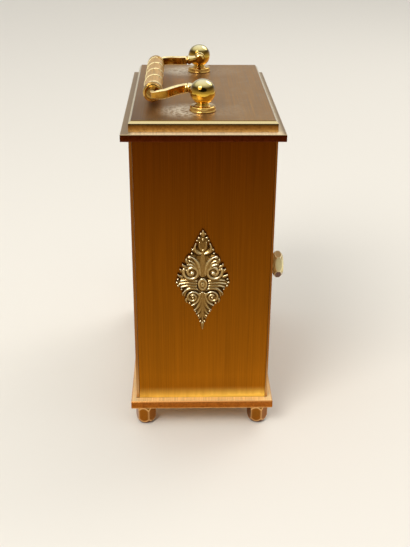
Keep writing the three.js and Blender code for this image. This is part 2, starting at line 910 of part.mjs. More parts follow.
function movementHousing() {
  const outline = rectangle(movementWidth, movementWidth, movementCorner);
  const body = extrude(outline, movementBack, movementFront, cornerSegments);
  const bush = rod(bushRadius, movementFront - cutOverrun, bushFront, roundSegments);
  const front = bushFront + cutOverrun;
  const pipeEnd = movementFront - hourPipeSink - slotGap;
  const pipeBore = rod(hourPipeRadius + runningGap, pipeEnd, front, roundSegments);
  const arborBore = rod(arborRadius + runningGap, arborBack - slotGap, front);
  const shaftSocket = rod(shaftBoreRadius, movementBack - cutOverrun, shaftSocketEnd);
  const round = rodAlongX(batteryBayRadius, -bayLength / 2, bayLength / 2, roundSegments);
  const trough = at(round, 0, -batteryDrop, batteryAxis);
  const mouthDepth = batteryAxis - movementBack + cutOverrun;
  const mouth = at(
    box(bayLength, 2 * batteryBayRadius, mouthDepth),
    0,
    -batteryDrop,
    batteryAxis - mouthDepth / 2,
  );
  return cut(join(body, bush), pipeBore, arborBore, shaftSocket, trough, mouth);
}

function movementCover() {
  const width = movementWidth - 2 * coverInset;
  const height = movementWidth / 2 - bayTop - 2 * coverInset;
  const middle = (movementWidth / 2 + bayTop) / 2;
  const shape = rectangle(width, height, coverCorner);
  shape.holes.push(circle(0, -middle, shaftBoreRadius + slotGap));
  return at(extrude(shape, 0, coverThickness, cornerSegments), 0, middle, coverBack);
}

// The cell lies along x with its raised end towards +x
function battery() {
  const start = -batteryLength / 2;
  const end = batteryLength / 2;
  const shoulder = end - batteryNubHeight;
  return revolve([
    [0, start],
    [batteryRadius - batteryEdge, start],
    [batteryRadius, start + batteryEdge],
    [batteryRadius, shoulder - batteryEdge],
    [batteryRadius - batteryEdge, shoulder],
    [batteryNubRadius, shoulder],
    [batteryNubRadius, end],
    [0, end],
  ]).rotateY(quarterTurn);
}

// Both contacts stand at the end walls of the bay and reach to the cell: z is towards the cell here
const contactReach = batteryEndRoom - 2 * seatGap;

function contactLeaf() {
  return at(box(contactWidth, contactHeight, contactThickness), 0, 0, contactThickness / 2);
}

function contactPositive() {
  return join(contactLeaf(), rod(batteryNubRadius / 2, contactThickness / 2, contactReach));
}

function contactNegative() {
  const coil = revolve([
    [0, contactThickness / 2],
    [springBaseRadius, contactThickness / 2],
    [springTipRadius, contactReach],
    [0, contactReach],
  ], smallSegments);
  return join(contactLeaf(), coil);
}

function hourPipe() {
  return tube(hourPipeRadius, hourPipeRadius - hourPipeWall, movementFront - hourPipeSink, hourHandFront);
}

function minuteArbor() {
  return rod(arborRadius, arborBack, minuteHandFront + handNutHeight / 2);
}

// A fluted wheel moulded with its hub and shaft, which turn in the back of the movement; its outer
// face is on z = 0
function settingKnob() {
  const shape = new THREE.Shape();
  for (let i = 0; i < 4 * knobFlutes; i += 1) {
    const angle = (2 * Math.PI * i) / (4 * knobFlutes);
    const radius = settingKnobRadius - (i % 4 < 2 ? 0 : settingKnobFlute);
    const [x, y] = [radius * Math.cos(angle), radius * Math.sin(angle)];
    if (i === 0) shape.moveTo(x, y);
    else shape.lineTo(x, y);
  }
  const wheel = extrude(shape, 0, settingKnobThickness / 2);
  const hub = rod(settingKnobHubRadius, settingKnobThickness / 4, settingKnobThickness);
  const cover = settingKnobGap + coverThickness + seatGap;
  const shaftEnd = settingKnobThickness + cover + settingShaftSink;
  const shaft = rod(settingShaftRadius, settingKnobThickness / 2, shaftEnd);
  return join(wheel, hub, shaft);
}

// Where the spade of a hand starts, narrows and ends along the hand, and how far its sides swell
const handLengthShares = [0.55, 0.78, 0.84];
const handWidthShares = [0.75, 0.6];

// A spade hand pointing along +y, its hub bored for its arbor
function hand({ length, tail, width, bore }) {
  const stem = handStemWidth / 2;
  const [neck, waist, throat] = handLengthShares.map((share) => share * length);
  const [belly, shoulder] = handWidthShares.map((share) => share * width);
  const shape = new THREE.Shape();
  shape.moveTo(-stem, -tail);
  shape.lineTo(stem, -tail);
  shape.lineTo(stem, neck);
  shape.bezierCurveTo(belly, neck, shoulder, waist, stem, throat);
  shape.lineTo(0, length);
  shape.lineTo(-stem, throat);
  shape.bezierCurveTo(-shoulder, waist, -belly, neck, -stem, neck);
  const blade = extrude(shape, 0, handThickness);
  const hub = rod(Math.max(handHubRadius, bore + handStemWidth), 0, handThickness, roundSegments);
  return cut(join(blade, hub), rod(bore, -cutOverrun, handThickness + cutOverrun, roundSegments));
}

const handNutShares = [[1, 0.55], [0.72, 0.9], [0.35, 1]];

function handNut() {
  const bore = arborRadius + seatGap;
  return revolve([
    [bore, 0],
    [handNutRadius, 0],
    ...handNutShares.map(([radius, height]) => [radius * handNutRadius, height * handNutHeight]),
    [0, handNutHeight],
    [0, handNutHeight / 2 + seatGap],
    [bore, handNutHeight / 2 + seatGap],
    [bore, 0],
  ], smallSegments);
}

// Rear frame and door, also drawn from the front, so the outside of the door is towards -z

const doorwayWidth = bodyWidth - 2 * rearMargin;
const doorwayHeight = bodyHeight - 2 * rearMargin;
const doorAxisX = -(doorwayWidth / 2 - doorThickness / 2 - doorAxisSetback);
const doorAxisZ = rearFace + doorThickness / 2;
const doorHeight = doorwayHeight - 2 * doorGap;
const doorFreeEdge = doorwayWidth / 2 - doorGap;
const doorKnobX = doorFreeEdge - doorKnobEdge;

function rearFrame() {
  const flange = extrude(framed(bodyWidth, panelHeight, doorwayWidth, doorwayHeight), 0, rearFlange);
  const step = framed(innerWidth, innerHeight, doorwayWidth, doorwayHeight);
  const core = extrude(step, rearFlange / 2, rearFrameThickness);
  const pinHole = rodAlongY(doorPinRadius + seatGap, -panelHeight / 2, panelHeight / 2);
  const reach = doorwayHeight / 2 + doorPinReach + seatGap;
  const room = at(box(rearMargin, 2 * reach, rearMargin), doorAxisX, 0, doorThickness / 2);
  const holes = common(at(pinHole, doorAxisX, 0, doorThickness / 2), room);
  return cut(join(flange, core), holes);
}

function rearDoor() {
  const radius = doorThickness / 2;
  const shape = new THREE.Shape();
  shape.moveTo(0, -radius);
  shape.lineTo(doorFreeEdge - doorAxisX, -radius);
  shape.lineTo(doorFreeEdge - doorAxisX, radius);
  shape.lineTo(0, radius);
  shape.absarc(0, 0, radius, quarterTurn, 3 * quarterTurn, false);
  const leaf = extrude(shape, -doorHeight / 2, doorHeight / 2, 8).rotateX(-quarterTurn);
  const bore = rodAlongY(doorPinRadius + runningGap, -doorHeight, doorHeight);
  const web = box(doorThickness, doorHeight - 2 * (doorPinReach + slotGap), doorThickness);
  const stud = rod(doorKnobStudRadius + slotGap, -doorThickness, doorThickness);
  return cut(leaf, cut(bore, web), at(stud, doorKnobX - doorAxisX, 0, 0));
}

function doorPin() {
  const gap = doorGap;
  return rodAlongY(doorPinRadius, -(gap + doorPinReach), doorPinReach);
}

// Hexagonal knob on a short stem with a stud into the door. The door's outer face is z = 0, the knob
// stands towards +z
function doorKnob() {
  const hex = crownedHexagon(doorKnobAcrossFlats, doorKnobThickness, doorKnobCrown).rotateZ(quarterTurn);
  const stem = rod(doorKnobStemRadius, seatGap, doorKnobStemLength + doorKnobThickness / 2);
  const studEnd = doorThickness + doorNutThickness + seatGap;
  const stud = rod(doorKnobStudRadius, -studEnd, doorKnobStemLength);
  return join(at(hex, 0, 0, doorKnobStemLength + seatGap), stem, stud);
}

// A bent leaf on the inside of the rear frame whose nose bears on the free edge of the door
function doorCatch() {
  const leaf = catchThickness;
  const step = rearFrameThickness - doorThickness;
  const shape = new THREE.Shape();
  const low = seatGap;
  const nose = low - step;
  shape.moveTo(catchFoot, low);
  shape.lineTo(catchFoot, low + leaf);
  shape.lineTo(0, low + leaf);
  shape.lineTo(-catchReach / 2, nose + leaf);
  shape.lineTo(-doorGap - catchReach, nose + leaf);
  shape.lineTo(-doorGap - catchReach, nose);
  shape.lineTo(-catchReach / 2, nose);
  shape.lineTo(0, low);
  return extrude(shape, -catchWidth / 2, catchWidth / 2).rotateX(quarterTurn);
}

// Ball posts. z = 0 on the upper top plate, the pivot side is towards -x

function ballPost() {
  const round = postFlangeRound;
  const studEnd = upperTopThickness + seatGap + lowerTopThickness + postNutThickness + postStudProud;
  const beadTop = postFlangeHeight + postBeadHeight;
  const profile = [
    [0, -studEnd],
    [postStudRadius, -studEnd],
    [postStudRadius, seatGap],
    [postFlangeRadius, seatGap],
    [postFlangeRadius, postFlangeHeight - round],
    [postFlangeRadius - round, postFlangeHeight],
    [postBeadRadius, postFlangeHeight],
    [postBeadRadius, beadTop - round],
    [postNeckRadius, beadTop],
  ];
  const first = Math.asin(postNeckRadius / ballRadius);
  for (let i = 0; i <= ballSteps; i += 1) {
    const angle = first + ((Math.PI - first) * i) / ballSteps;
    const radius = i === ballSteps ? 0 : ballRadius * Math.sin(angle);
    profile.push([radius, ballRise + seatGap - ballRadius * Math.cos(angle)]);
  }
  const post = revolve(profile, roundSegments);
  const level = ballRise + seatGap;
  const face = -(ballRadius + pivotBossProud);
  const boss = at(rodAlongX(pivotBossRadius, face, 0), 0, 0, level);
  const hole = rodAlongX(pivotScrewRadius + seatGap, face - cutOverrun, face + pivotScrewDepth);
  const bore = at(hole, 0, 0, level);
  return cut(join(post, boss), bore);
}

// The eyes of the handle turn between the boss of each ball and the head of its pivot screw

const ballInner = postSpacing / 2 - ballRadius - pivotBossProud;
const eyeOuter = ballInner - slotGap;
const eyeInner = eyeOuter - eyeThickness;

// Along +x from the head to the tip
function pivotScrew() {
  const head = eyeInner - slotGap;
  return revolve([
    [0, head - pivotScrewHeadDepth],
    [pivotScrewHead * screwTopShare, head - pivotScrewHeadDepth],
    [pivotScrewHead, head - pivotScrewHeadDepth / 2],
    [pivotScrewHead, head],
    [pivotScrewRadius, head],
    [pivotScrewRadius, ballInner + pivotScrewDepth - slotGap],
    [0, ballInner + pivotScrewDepth - slotGap],
  ], smallSegments).rotateY(quarterTurn);
}

// The right arm's course from its groove to the grip: shares of the reach, the drop and the bow
const armCourseShares = [
  [0.297, 0.34, -0.38],
  [0.4, 0.43, -0.29],
  [0.514, 0.52, 0.02],
  [0.629, 0.64, 0.5],
  [0.743, 0.8, 0.9],
  [0.869, 0.93, 1],
  [0.971, 1, 0.84],
  [1, 1, 0.42],
  [1, 1, 0],
];
const armSteps = 10;

function armPoint([reach, drop, bow]) {
  return new THREE.Vector3(gripHalfLength + seatGap + bow * armBow, -reach * gripReach, -drop * gripDrop);
}

// Chamfered bar sections, upright across the course
function armSection(centre, tangent) {
  const across = new THREE.Vector3(0, 0, 1).cross(tangent).normalize();
  const up = tangent.clone().cross(across).normalize();
  const [w, h, c] = [armThickness / 2, armHeight / 2, armChamfer];
  const outline = [
    [w, h - c], [w - c, h], [c - w, h], [-w, h - c],
    [-w, c - h], [c - w, -h], [w - c, -h], [w, c - h],
  ];
  return outline.map(([x, y]) => centre.clone().addScaledVector(across, x).addScaledVector(up, y));
}

function roundSection(centre, tangent, radius) {
  const across = new THREE.Vector3(0, 0, 1).cross(tangent).normalize();
  const up = tangent.clone().cross(across).normalize();
  const ring = [];
  for (let i = 0; i < smallSegments; i += 1) {
    const angle = (2 * Math.PI * i) / smallSegments;
    const [x, y] = [radius * Math.cos(angle), radius * Math.sin(angle)];
    ring.push(centre.clone().addScaledVector(across, x).addScaledVector(up, y));
  }
  return ring;
}

function handleArm() {
  const course = new THREE.CatmullRomCurve3(armCourseShares.map(armPoint));
  const rings = [];
  for (let i = 0; i <= armSteps; i += 1) {
    rings.push(armSection(course.getPoint(i / armSteps), course.getTangent(i / armSteps)));
  }
  const bar = loft(rings);
  const start = armPoint(armCourseShares[0]);
  const eye = new THREE.Vector3((eyeInner + eyeOuter) / 2, 0, 0);
  const ahead = start.clone().sub(eye).normalize();
  const neckStart = eye.clone().addScaledVector(ahead, pivotScrewRadius + slotGap + armNeckRadius);
  const neckEnd = start.clone().addScaledVector(ahead, -armGrooveLength);
  const neck = loft([
    roundSection(neckStart, ahead, armNeckRadius),
    roundSection(neckEnd, ahead, armCollarRadius),
  ]);
  const grooveEnds = [-2 * armGrooveLength, armGrooveLength].map((far) => {
    return roundSection(start.clone().addScaledVector(ahead, far), ahead, armGrooveRadius);
  });
  const groove = loft(grooveEnds);
  const ring = rodAlongX(eyeRadius, eyeInner, eyeOuter, roundSegments);
  const bore = rodAlongX(pivotScrewRadius + runningGap, eyeInner - cutOverrun, eyeOuter + cutOverrun);
  const tenonStart = gripHalfLength - armTenonLength;
  const tenonEnd = gripHalfLength + seatGap + armThickness / 2;
  const tenon = at(rodAlongX(armTenonRadius, tenonStart, tenonEnd), 0, -gripReach, -gripDrop);
  return cut(join(bar, groove, neck, ring, tenon), bore);
}

// The grip and its collars lie along x, with x = 0 at the middle of the grip

const barrelHalf = gripHalfLength - collarLength - seatGap;

// Where the winding passes the front line of the grip, as a share of its pitch
const windingStartShare = -0.28;

// Section of the bead: shares of its width and its height, its foot sunk in the barrel
const beadSectionShares = [[-0.5, -1], [0.5, -1], [0.5, 0], [0.22, 1], [-0.22, 1], [-0.5, 0]];

// A round barrel with one raised bead wound about it like a wide screw thread
function handleGrip() {
  const barrel = rod(gripRadius, -barrelHalf, barrelHalf, gripSides);
  const turns = Math.ceil(barrelHalf / gripPitch) + 1;
  const rings = [];
  for (let i = -turns * gripSides; i <= turns * gripSides; i += 1) {
    const angle = (2 * Math.PI * i) / gripSides;
    const x = (i / gripSides + windingStartShare) * gripPitch;
    rings.push(beadSectionShares.map(([across, out]) => {
      const radius = gripRadius + out * gripBeadHeight;
      const [y, z] = [radius * Math.cos(angle), radius * Math.sin(angle)];
      return new THREE.Vector3(x + across * gripBeadWidth, y, z);
    }));
  }
  const length = box(2 * barrelHalf, gripRadius * 4, gripRadius * 4);
  const wound = common(join(barrel.rotateY(quarterTurn), loft(rings)), length);
  const bore = rod(armTenonRadius + seatGap, 0, armTenonLength + cutOverrun).rotateY(quarterTurn);
  const start = gripHalfLength - armTenonLength - slotGap;
  return cut(wound, at(bore, start, 0, 0), mirrored(at(bore, start, 0, 0)));
}

// Right collar: a polished band, a groove and a rimmed end
function gripCollar() {
  const bore = armTenonRadius + seatGap;
  const [from, to] = [gripHalfLength - collarLength, gripHalfLength];
  const groove = to - 2 * collarRim - collarGroove;
  return revolve([
    [bore, from],
    [gripRadius, from],
    [collarRadius, from + collarRim],
    [collarRadius, groove - collarRim],
    [collarRadius - collarGroove, groove],
    [collarRadius - collarGroove, groove + collarGroove],
    [collarRadius - collarGroove / 2, to - collarRim],
    [collarRadius - collarGroove, to],
    [bore, to],
    [bore, from],
  ]).rotateY(quarterTurn);
}

// Assembly

const clock = new THREE.Group();
clock.position.y = centreShift;

for (const [name, corner] of Object.entries(corners)) {
  add(clock, `foot_${name}`, foot(), 'polishedBrass', [...footPlace(corner), 0], radians(footTurns[name]));
}
add(clock, 'base_plate', basePlate(), 'brushedBrass', [0, 0, baseLevel]);
for (const [name, corner] of Object.entries(corners)) {
  const [x, y] = pillarPlace(corner);
  add(clock, `pillar_${name}`, pillar(), 'satinBrass', [x, y, bodyLevel]);
  add(clock, `top_screw_${name}`, topScrew(), 'steel', [x, y, lowerTopLevel + lowerTopThickness]);
}
add(clock, 'lower_top_plate', lowerTopPlate(), 'satinBrass', [0, 0, lowerTopLevel]);
add(clock, 'upper_top_plate', upperTopPlate(), 'satinBrass', [0, 0, upperTopLevel]);

// The walls, the dial and the rear door share a group whose z is towards the front

const walls = new THREE.Group();
walls.position.z = dialLevel;
walls.rotation.x = quarterTurn;
clock.add(walls);

for (const [name, sideX] of Object.entries(sides)) {
  const wall = new THREE.Group();
  wall.position.x = sideX * (bodyWidth / 2 - panelThickness);
  wall.rotation.y = sideX * quarterTurn;
  walls.add(wall);
  add(wall, `side_panel_${name}`, sidePanel(sideX), 'brushedBrass');
  const outside = panelThickness + seatGap;
  add(wall, `side_ornament_${name}`, ornament(), 'antiqueBrass', [0, -ornamentDrop, outside]);
}

add(walls, 'front_frame', frontFrame(), 'brushedBrass', [0, 0, frameBack]);
add(walls, 'front_glass', frontGlass(), 'glass', [0, 0, glassBack]);
add(walls, 'dial_surround', dialSurround(), 'satinBrass', [0, 0, surroundBack]);
add(walls, 'dial_plate', dialPlate(), 'brushedBrass', [0, 0, dialBack]);
add(walls, 'dial_disc', dialDisc(), 'enamel', [0, 0, dialFront + seatGap]);
add(walls, 'dial_ring', dialRing(), 'polishedBrass', [0, 0, dialFront + seatGap]);
for (const [height, up] of [['lower', -1], ['upper', 1]]) {
  for (const [side, sideX] of Object.entries(sides)) {
    const place = [...dialScrewPlace([sideX, up]), dialBack - seatGap];
    add(walls, `dial_screw_${height}_${side}`, dialScrew(), 'steel', place);
  }
}

add(walls, 'movement_housing', movementHousing(), 'blackPlastic');
add(walls, 'movement_cover', movementCover(), 'greyPlastic');
const movementNut = hexNut(movementNutAcrossFlats, movementNutThickness, bushRadius + slotGap);
add(walls, 'movement_nut', movementNut, 'polishedBrass', [0, 0, dialFront + seatGap]);
add(walls, 'battery', battery(), 'cellJacket', [0, -batteryDrop, batteryAxis]);
const contacts = { positive: [contactPositive(), 1], negative: [contactNegative(), -1] };
for (const [name, [geometry, end]] of Object.entries(contacts)) {
  const place = [end * (bayLength / 2 - seatGap), -batteryDrop, batteryAxis];
  const contact = add(walls, `battery_contact_${name}`, geometry, 'steel', place);
  contact.rotation.y = -end * quarterTurn;
}

const hourHand = hand({
  length: hourHandLength,
  tail: hourHandTail,
  width: hourHandWidth,
  bore: hourPipeRadius + slotGap,
});
const minuteHand = hand({
  length: minuteHandLength,
  tail: minuteHandTail,
  width: minuteHandWidth,
  bore: arborRadius + slotGap,
});
add(walls, 'hour_pipe', hourPipe(), 'polishedBrass');
add(walls, 'hour_hand', hourHand, 'blackHand', [0, 0, hourHandBack], -radians(hourHandTurn));
add(walls, 'minute_arbor', minuteArbor(), 'steel');
add(walls, 'minute_hand', minuteHand, 'blackHand', [0, 0, minuteHandBack], -radians(minuteHandTurn));
add(walls, 'hand_nut', handNut(), 'polishedBrass', [0, 0, minuteHandFront + seatGap]);
const settingKnobBack = coverBack - settingKnobGap - settingKnobThickness;
add(walls, 'setting_knob', settingKnob(), 'greyPlastic', [0, 0, settingKnobBack]);

add(walls, 'rear_frame', rearFrame(), 'brushedBrass', [0, 0, rearFace]);
add(walls, 'rear_door', rearDoor(), 'brushedBrass', [doorAxisX, 0, doorAxisZ]);
for (const [name, way] of [['top', 1], ['bottom', -1]]) {
  const place = [doorAxisX, (way * doorwayHeight) / 2, doorAxisZ];
  const pin = add(walls, `door_pin_${name}`, doorPin(), 'steel', place);
  pin.rotation.z = way > 0 ? 0 : Math.PI;
}
const knob = add(walls, 'door_knob', doorKnob(), 'polishedBrass', [doorKnobX, 0, rearFace]);
knob.rotation.x = Math.PI;
const doorNut = hexNut(doorNutAcrossFlats, doorNutThickness, doorKnobStudRadius + slotGap);
add(walls, 'door_knob_nut', doorNut, 'steel', [doorKnobX, 0, doorBack + seatGap]);
const catchPlace = [doorwayWidth / 2, catchRise, rearFace + rearFrameThickness];
add(walls, 'door_catch', doorCatch(), 'steel', catchPlace);

for (const [name, side] of Object.entries(sides)) {
  const post = side > 0 ? ballPost() : mirrored(ballPost());
  add(clock, `ball_post_${name}`, post, 'polishedBrass', [(side * postSpacing) / 2, 0, topFace]);
  const nut = hexNut(postNutAcrossFlats, postNutThickness, postStudRadius + slotGap);
  const nutLevel = lowerTopLevel - seatGap - postNutThickness;
  add(clock, `post_nut_${name}`, nut, 'steel', [(side * postSpacing) / 2, 0, nutLevel]);
}

// The handle turns about the line through both balls

const handle = new THREE.Group();
handle.position.z = pivotLevel;
clock.add(handle);

for (const [name, side] of Object.entries(sides)) {
  const facing = (geometry) => (side > 0 ? geometry : mirrored(geometry));
  add(handle, `handle_pivot_${name}`, facing(pivotScrew()), 'polishedBrass');
  add(handle, `handle_arm_${name}`, facing(handleArm()), 'polishedBrass');
  add(handle, `grip_collar_${name}`, facing(gripCollar()), 'polishedBrass', [0, -gripReach, -gripDrop]);
}
add(handle, 'handle_grip', handleGrip(), 'satinBrass', [0, -gripReach, -gripDrop]);

export default clock;
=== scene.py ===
"""A small brass officer's clock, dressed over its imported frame. Metres, +Z up, the dial faces -Y."""

import math

import bpy
import numpy as np
from mathutils import Matrix, Vector


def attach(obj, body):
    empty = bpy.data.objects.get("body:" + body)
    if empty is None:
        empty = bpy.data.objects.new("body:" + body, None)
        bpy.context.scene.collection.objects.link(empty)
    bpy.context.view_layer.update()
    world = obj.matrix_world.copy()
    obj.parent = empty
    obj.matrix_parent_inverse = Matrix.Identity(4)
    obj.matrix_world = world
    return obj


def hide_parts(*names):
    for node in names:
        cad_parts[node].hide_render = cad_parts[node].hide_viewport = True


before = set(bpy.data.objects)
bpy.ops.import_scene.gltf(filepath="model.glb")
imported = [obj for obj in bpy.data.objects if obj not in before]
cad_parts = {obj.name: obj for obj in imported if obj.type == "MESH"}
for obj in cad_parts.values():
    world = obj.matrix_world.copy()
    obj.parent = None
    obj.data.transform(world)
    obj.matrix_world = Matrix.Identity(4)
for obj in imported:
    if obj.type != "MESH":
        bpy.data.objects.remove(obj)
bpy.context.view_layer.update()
scene = bpy.context.scene

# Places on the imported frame, in metres

MM = 0.001
CENTRE_Y = -0.000875  # middle of the case, between its dial side and its door side
DIAL_Z = 0.06245  # height of the hands' axis and of the knob
PIVOT_Z = 0.12635  # height of the line that the handle turns about
TOP_FACE = 0.1196  # upper face of the uppermost plate
POST_X = 0.0317
FOOT_X, FOOT_FROM_CENTRE_Y = 0.04425, 0.0217
KNOB_X, KNOB_Y = 0.0348, 0.0254
ORNAMENT_X, ORNAMENT_Z = 0.04665, 0.06045
ENAMEL_Y = CENTRE_Y - 0.01473

SIDES = (("left", -1), ("right", 1))
QUARTER = math.pi / 2
TINY = 1e-6

# The camera, fitted to the corners, edges, feet and posts that the photograph shows

CAMERA_PLACE = Vector((0.31751, -0.00779, 0.19391))
CAMERA_AHEAD = Vector((-0.90179, 0.02581, -0.43140)).normalized()
CAMERA_ROLL = 0.0078
CAMERA_LENS, SENSOR_WIDTH = 55.24, 36


def aim_camera():
    right = CAMERA_AHEAD.cross(Vector((0, 0, 1))).normalized()
    up = right.cross(CAMERA_AHEAD)
    cos, sin = math.cos(CAMERA_ROLL), math.sin(CAMERA_ROLL)
    axes = Matrix((right * cos + up * sin, up * cos - right * sin, -CAMERA_AHEAD)).transposed()
    camera = bpy.data.objects.new("camera", bpy.data.cameras.new("camera"))
    camera.data.sensor_width = SENSOR_WIDTH
    camera.data.lens = CAMERA_LENS
    camera.data.clip_start = 0.01
    camera.data.clip_end = 100
    camera.matrix_world = Matrix.Translation(CAMERA_PLACE) @ axes.to_4x4()
    scene.collection.objects.link(camera)
    scene.camera = camera


# Materials: each is a node tree with grain, wear and tone at the scale of the real clock

MIX_FACTOR, MIX_FIRST, MIX_SECOND, MIX_RESULT = 0, 6, 7, 2  # sockets of a Mix node that mixes colours
NOISE_LOW, NOISE_HIGH = 0.3, 0.7  # most of a noise lies between these


class Nodes:
    """A node tree, built by short calls. A value is a number, a colour or another node's socket."""

    def __init__(self, tree):
        self.tree = tree

    def add(self, kind, settings=None, **inputs):
        """A new node, with its inputs by name, where _ stands for a space."""
        node = self.tree.nodes.new(kind)
        for key, value in (settings or {}).items():
            setattr(node, key, value)
        for key, value in inputs.items():
            self.put(node.inputs[key.replace("_", " ")], value)
        return node

    def put(self, socket, value):
        if isinstance(value, bpy.types.NodeSocket):
            self.tree.links.new(value, socket)
        else:
            socket.default_value = value

    def math(self, operation, first, second=0.0):
        node = self.add("ShaderNodeMath", {"operation": operation})
        self.put(node.inputs[0], first)
        self.put(node.inputs[1], second)
        return node.outputs["Value"]

    def product(self, result, *others):
        for value in others:
            result = self.math("MULTIPLY", result, value)
        return result

    def vector_math(self, operation, first, second=None, result="Vector"):
        node = self.add("ShaderNodeVectorMath", {"operation": operation})
        self.put(node.inputs[0], first)
        if second is not None:
            self.put(node.inputs[1], second)
        return node.outputs[result]

    def spread(self, value, low, high, to_low=0.0, to_high=1.0, smooth=False):
        """Maps low to high onto to_low to to_high, and stays at the ends beyond them."""
        kind = {"interpolation_type": "SMOOTHSTEP"} if smooth else {}
        limits = {"From_Min": low, "From_Max": high, "To_Min": to_low, "To_Max": to_high}
        return self.add("ShaderNodeMapRange", kind, Value=value, **limits).outputs["Result"]

    def mix(self, share, first, second, blend="MIX"):
        node = self.add("ShaderNodeMix", {"data_type": "RGBA", "blend_type": blend})
        self.put(node.inputs[MIX_FACTOR], share)
        self.put(node.inputs[MIX_FIRST], first)
        self.put(node.inputs[MIX_SECOND], second)
        return node.outputs[MIX_RESULT]

    def ramp(self, value, stops):
        node = self.add("ShaderNodeValToRGB", Fac=value)
        points = node.color_ramp.elements
        while len(points) < len(stops):
            points.new(0.5)
        for point, (position, colour) in zip(points, stops):
            point.position = position
            point.color = colour
        return node.outputs["Color"]


class Finish(Nodes):
    """A material on the principled shader. Its patterns lie in object space, which is in metres."""

    def __init__(self, name):
        self.material = bpy.data.materials.new(name)
        self.material.use_nodes = True
        super().__init__(self.material.node_tree)
        self.shader = self.tree.nodes["Principled BSDF"]

    def set(self, **inputs):
        for key, value in inputs.items():
            self.put(self.shader.inputs[key.replace("_", " ")], value)

    def place(self):
        return self.add("ShaderNodeTexCoord").outputs["Object"]

    def along(self, axis):
        """Where the point lies along an axis."""
        return self.add("ShaderNodeSeparateXYZ", Vector=self.place()).outputs[axis]

    def facing(self, axis):
        """How far the surface faces along an axis, from -1 to 1."""
        normal = self.add("ShaderNodeTexCoord").outputs["Normal"]
        return self.add("ShaderNodeSeparateXYZ", Vector=normal).outputs[axis]

    def crest(self):
        """The number that mark() keeps for each point of a piece."""
        return self.add("ShaderNodeAttribute", {"attribute_name": "crest"}).outputs["Fac"]

    def noise(self, scale, detail, roughness=0.55):
        """Noise with scale changes in a metre, the same along each axis or one number for each."""
        scale = scale if isinstance(scale, tuple) else (scale, scale, scale)
        vector = self.add("ShaderNodeMapping", Vector=self.place(), Scale=scale).outputs["Vector"]
        node = self.add("ShaderNodeTexNoise", Vector=vector, Scale=1.0, Detail=detail, Roughness=roughness)
        return node.outputs["Fac"]

    def vary(self, noise, low, high):
        return self.spread(noise, NOISE_LOW, NOISE_HIGH, low, high)

    def bump(self, height, strength, depth):
        node = self.add("ShaderNodeBump", Height=height, Strength=strength, Distance=depth)
        self.set(Normal=node.outputs["Normal"])


def srgb(code):
    """A hex colour as it looks on screen, as linear numbers."""
    parts = [int(code[i : i + 2], 16) / 255 for i in (0, 2, 4)]
    linear = [p / 12.92 if p <= 0.04045 else ((p + 0.055) / 1.055) ** 2.4 for p in parts]
    return (*linear, 1.0)


def tones(stops):
    return [(position, srgb(code)) for position, code in stops]


# Grain of the brushing, in streaks to a metre along X, Y and Z
UPRIGHT_GRAIN = (2600, 2600, 22)
FRAME_GRAIN = (1800, 1800, 60)
LEVEL_GRAIN = (26, 2300, 2300)
GRIP_GRAIN = (90, 2300, 2300)
DIAL_SIDE_GRAIN = (900, 900, 90)
NO_GRAIN = (900, 900, 900)

# Heights between which a tone changes, in metres
PANEL_Z = (0.022, 0.1132)
FRAME_Z = (0.012, 0.112)
LEDGE_GLOW_Z = (0.0122, 0.0167)
BASE_EDGE_Z = (0.00835, 0.01165)
LOWER_EDGE_Z = (0.11325, 0.11575)
UPPER_EDGE_Z = (0.1158, 0.1187)
CHAMFER_LINE_Z = (0.11935, 0.11945)
POST_FLANGE_Z = (TOP_FACE + 0.0024, TOP_FACE + 0.0019)

# Painted reflection and shade on the edges of the plates and frames, from their lower edge up
BASE_EDGE = [
    (0, "ffd494"), (0.11, "ecb062"), (0.2, "b0641e"), (0.8, "b46a26"), (0.95, "8a4a14"), (1, "704010"),
]
LOWER_EDGE = [
    (0, "8a4c22"), (0.08, "5a230a"), (0.2, "4c1c04"), (0.8, "421602"), (0.9, "180a02"), (1, "120802"),
]
UPPER_EDGE = [
    (0, "e8c488"), (0.18, "d2a45e"), (0.34, "a87838"), (0.64, "86561f"), (0.84, "5c3e16"), (1, "261606"),
]
FRAME_EDGE = [
    (0, "cfa068"), (0.18, "96602c"), (0.5, "7c481a"), (1, "5a2a08"),
]

# Painted light, shade and reflection on polished pieces, from where they face down to where they face up
PAINTED_BALL_REFLECTIONS = [
    (0, "d89a2c"), (0.42, "f2c64c"), (0.6, "a07a2c"), (0.74, "5c4416"), (0.84, "dccb88"), (1, "f6efc8"),
]
PAINTED_KNOB_LIGHT = [
    (0, "3c1002"), (0.3, "702a06"), (0.45, "f2dc92"), (0.68, "fff4bc"), (0.84, "a8803c"), (1, "a8803c"),
]
PAINTED_FOOT_LIGHT = [
    (0, "4a2006"), (0.3, "743c0e"), (0.55, "a2621c"), (1, "d8a050"),
]
PAINTED_EYE_LIGHT = [
    (0, "5c3a0c"), (0.4, "94651c"), (0.55, "cf9c3a"), (0.75, "f4dc90"), (1, "fff4cc"),
]

# Tones of the casting, from its brown hollows to the painted highlights on its crests
CAST_TONES = [
    (0, "34200a"), (0.3, "644418"), (0.6, "906e3a"), (0.82, "ccb078"), (1, "fff0c8"),
]

TARNISH = "5c3a12"


def streaked(n, colour, grain):
    """A colour with fine and broad streaks of light and dark and faint tarnish, and its fine streaks."""
    streaks = n.noise(grain, detail=3, roughness=0.7)
    broad = n.noise(tuple(g * 0.22 for g in grain), detail=2)
    colour = n.mix(1.0, colour, n.product(n.vary(streaks, 0.8, 1.2), n.vary(broad, 0.96, 1.04)), "MULTIPLY")
    patches = n.noise(38, detail=5)
    return n.mix(n.spread(patches, 0.45, 0.75, 0, 0.12), colour, srgb(TARNISH)), streaks


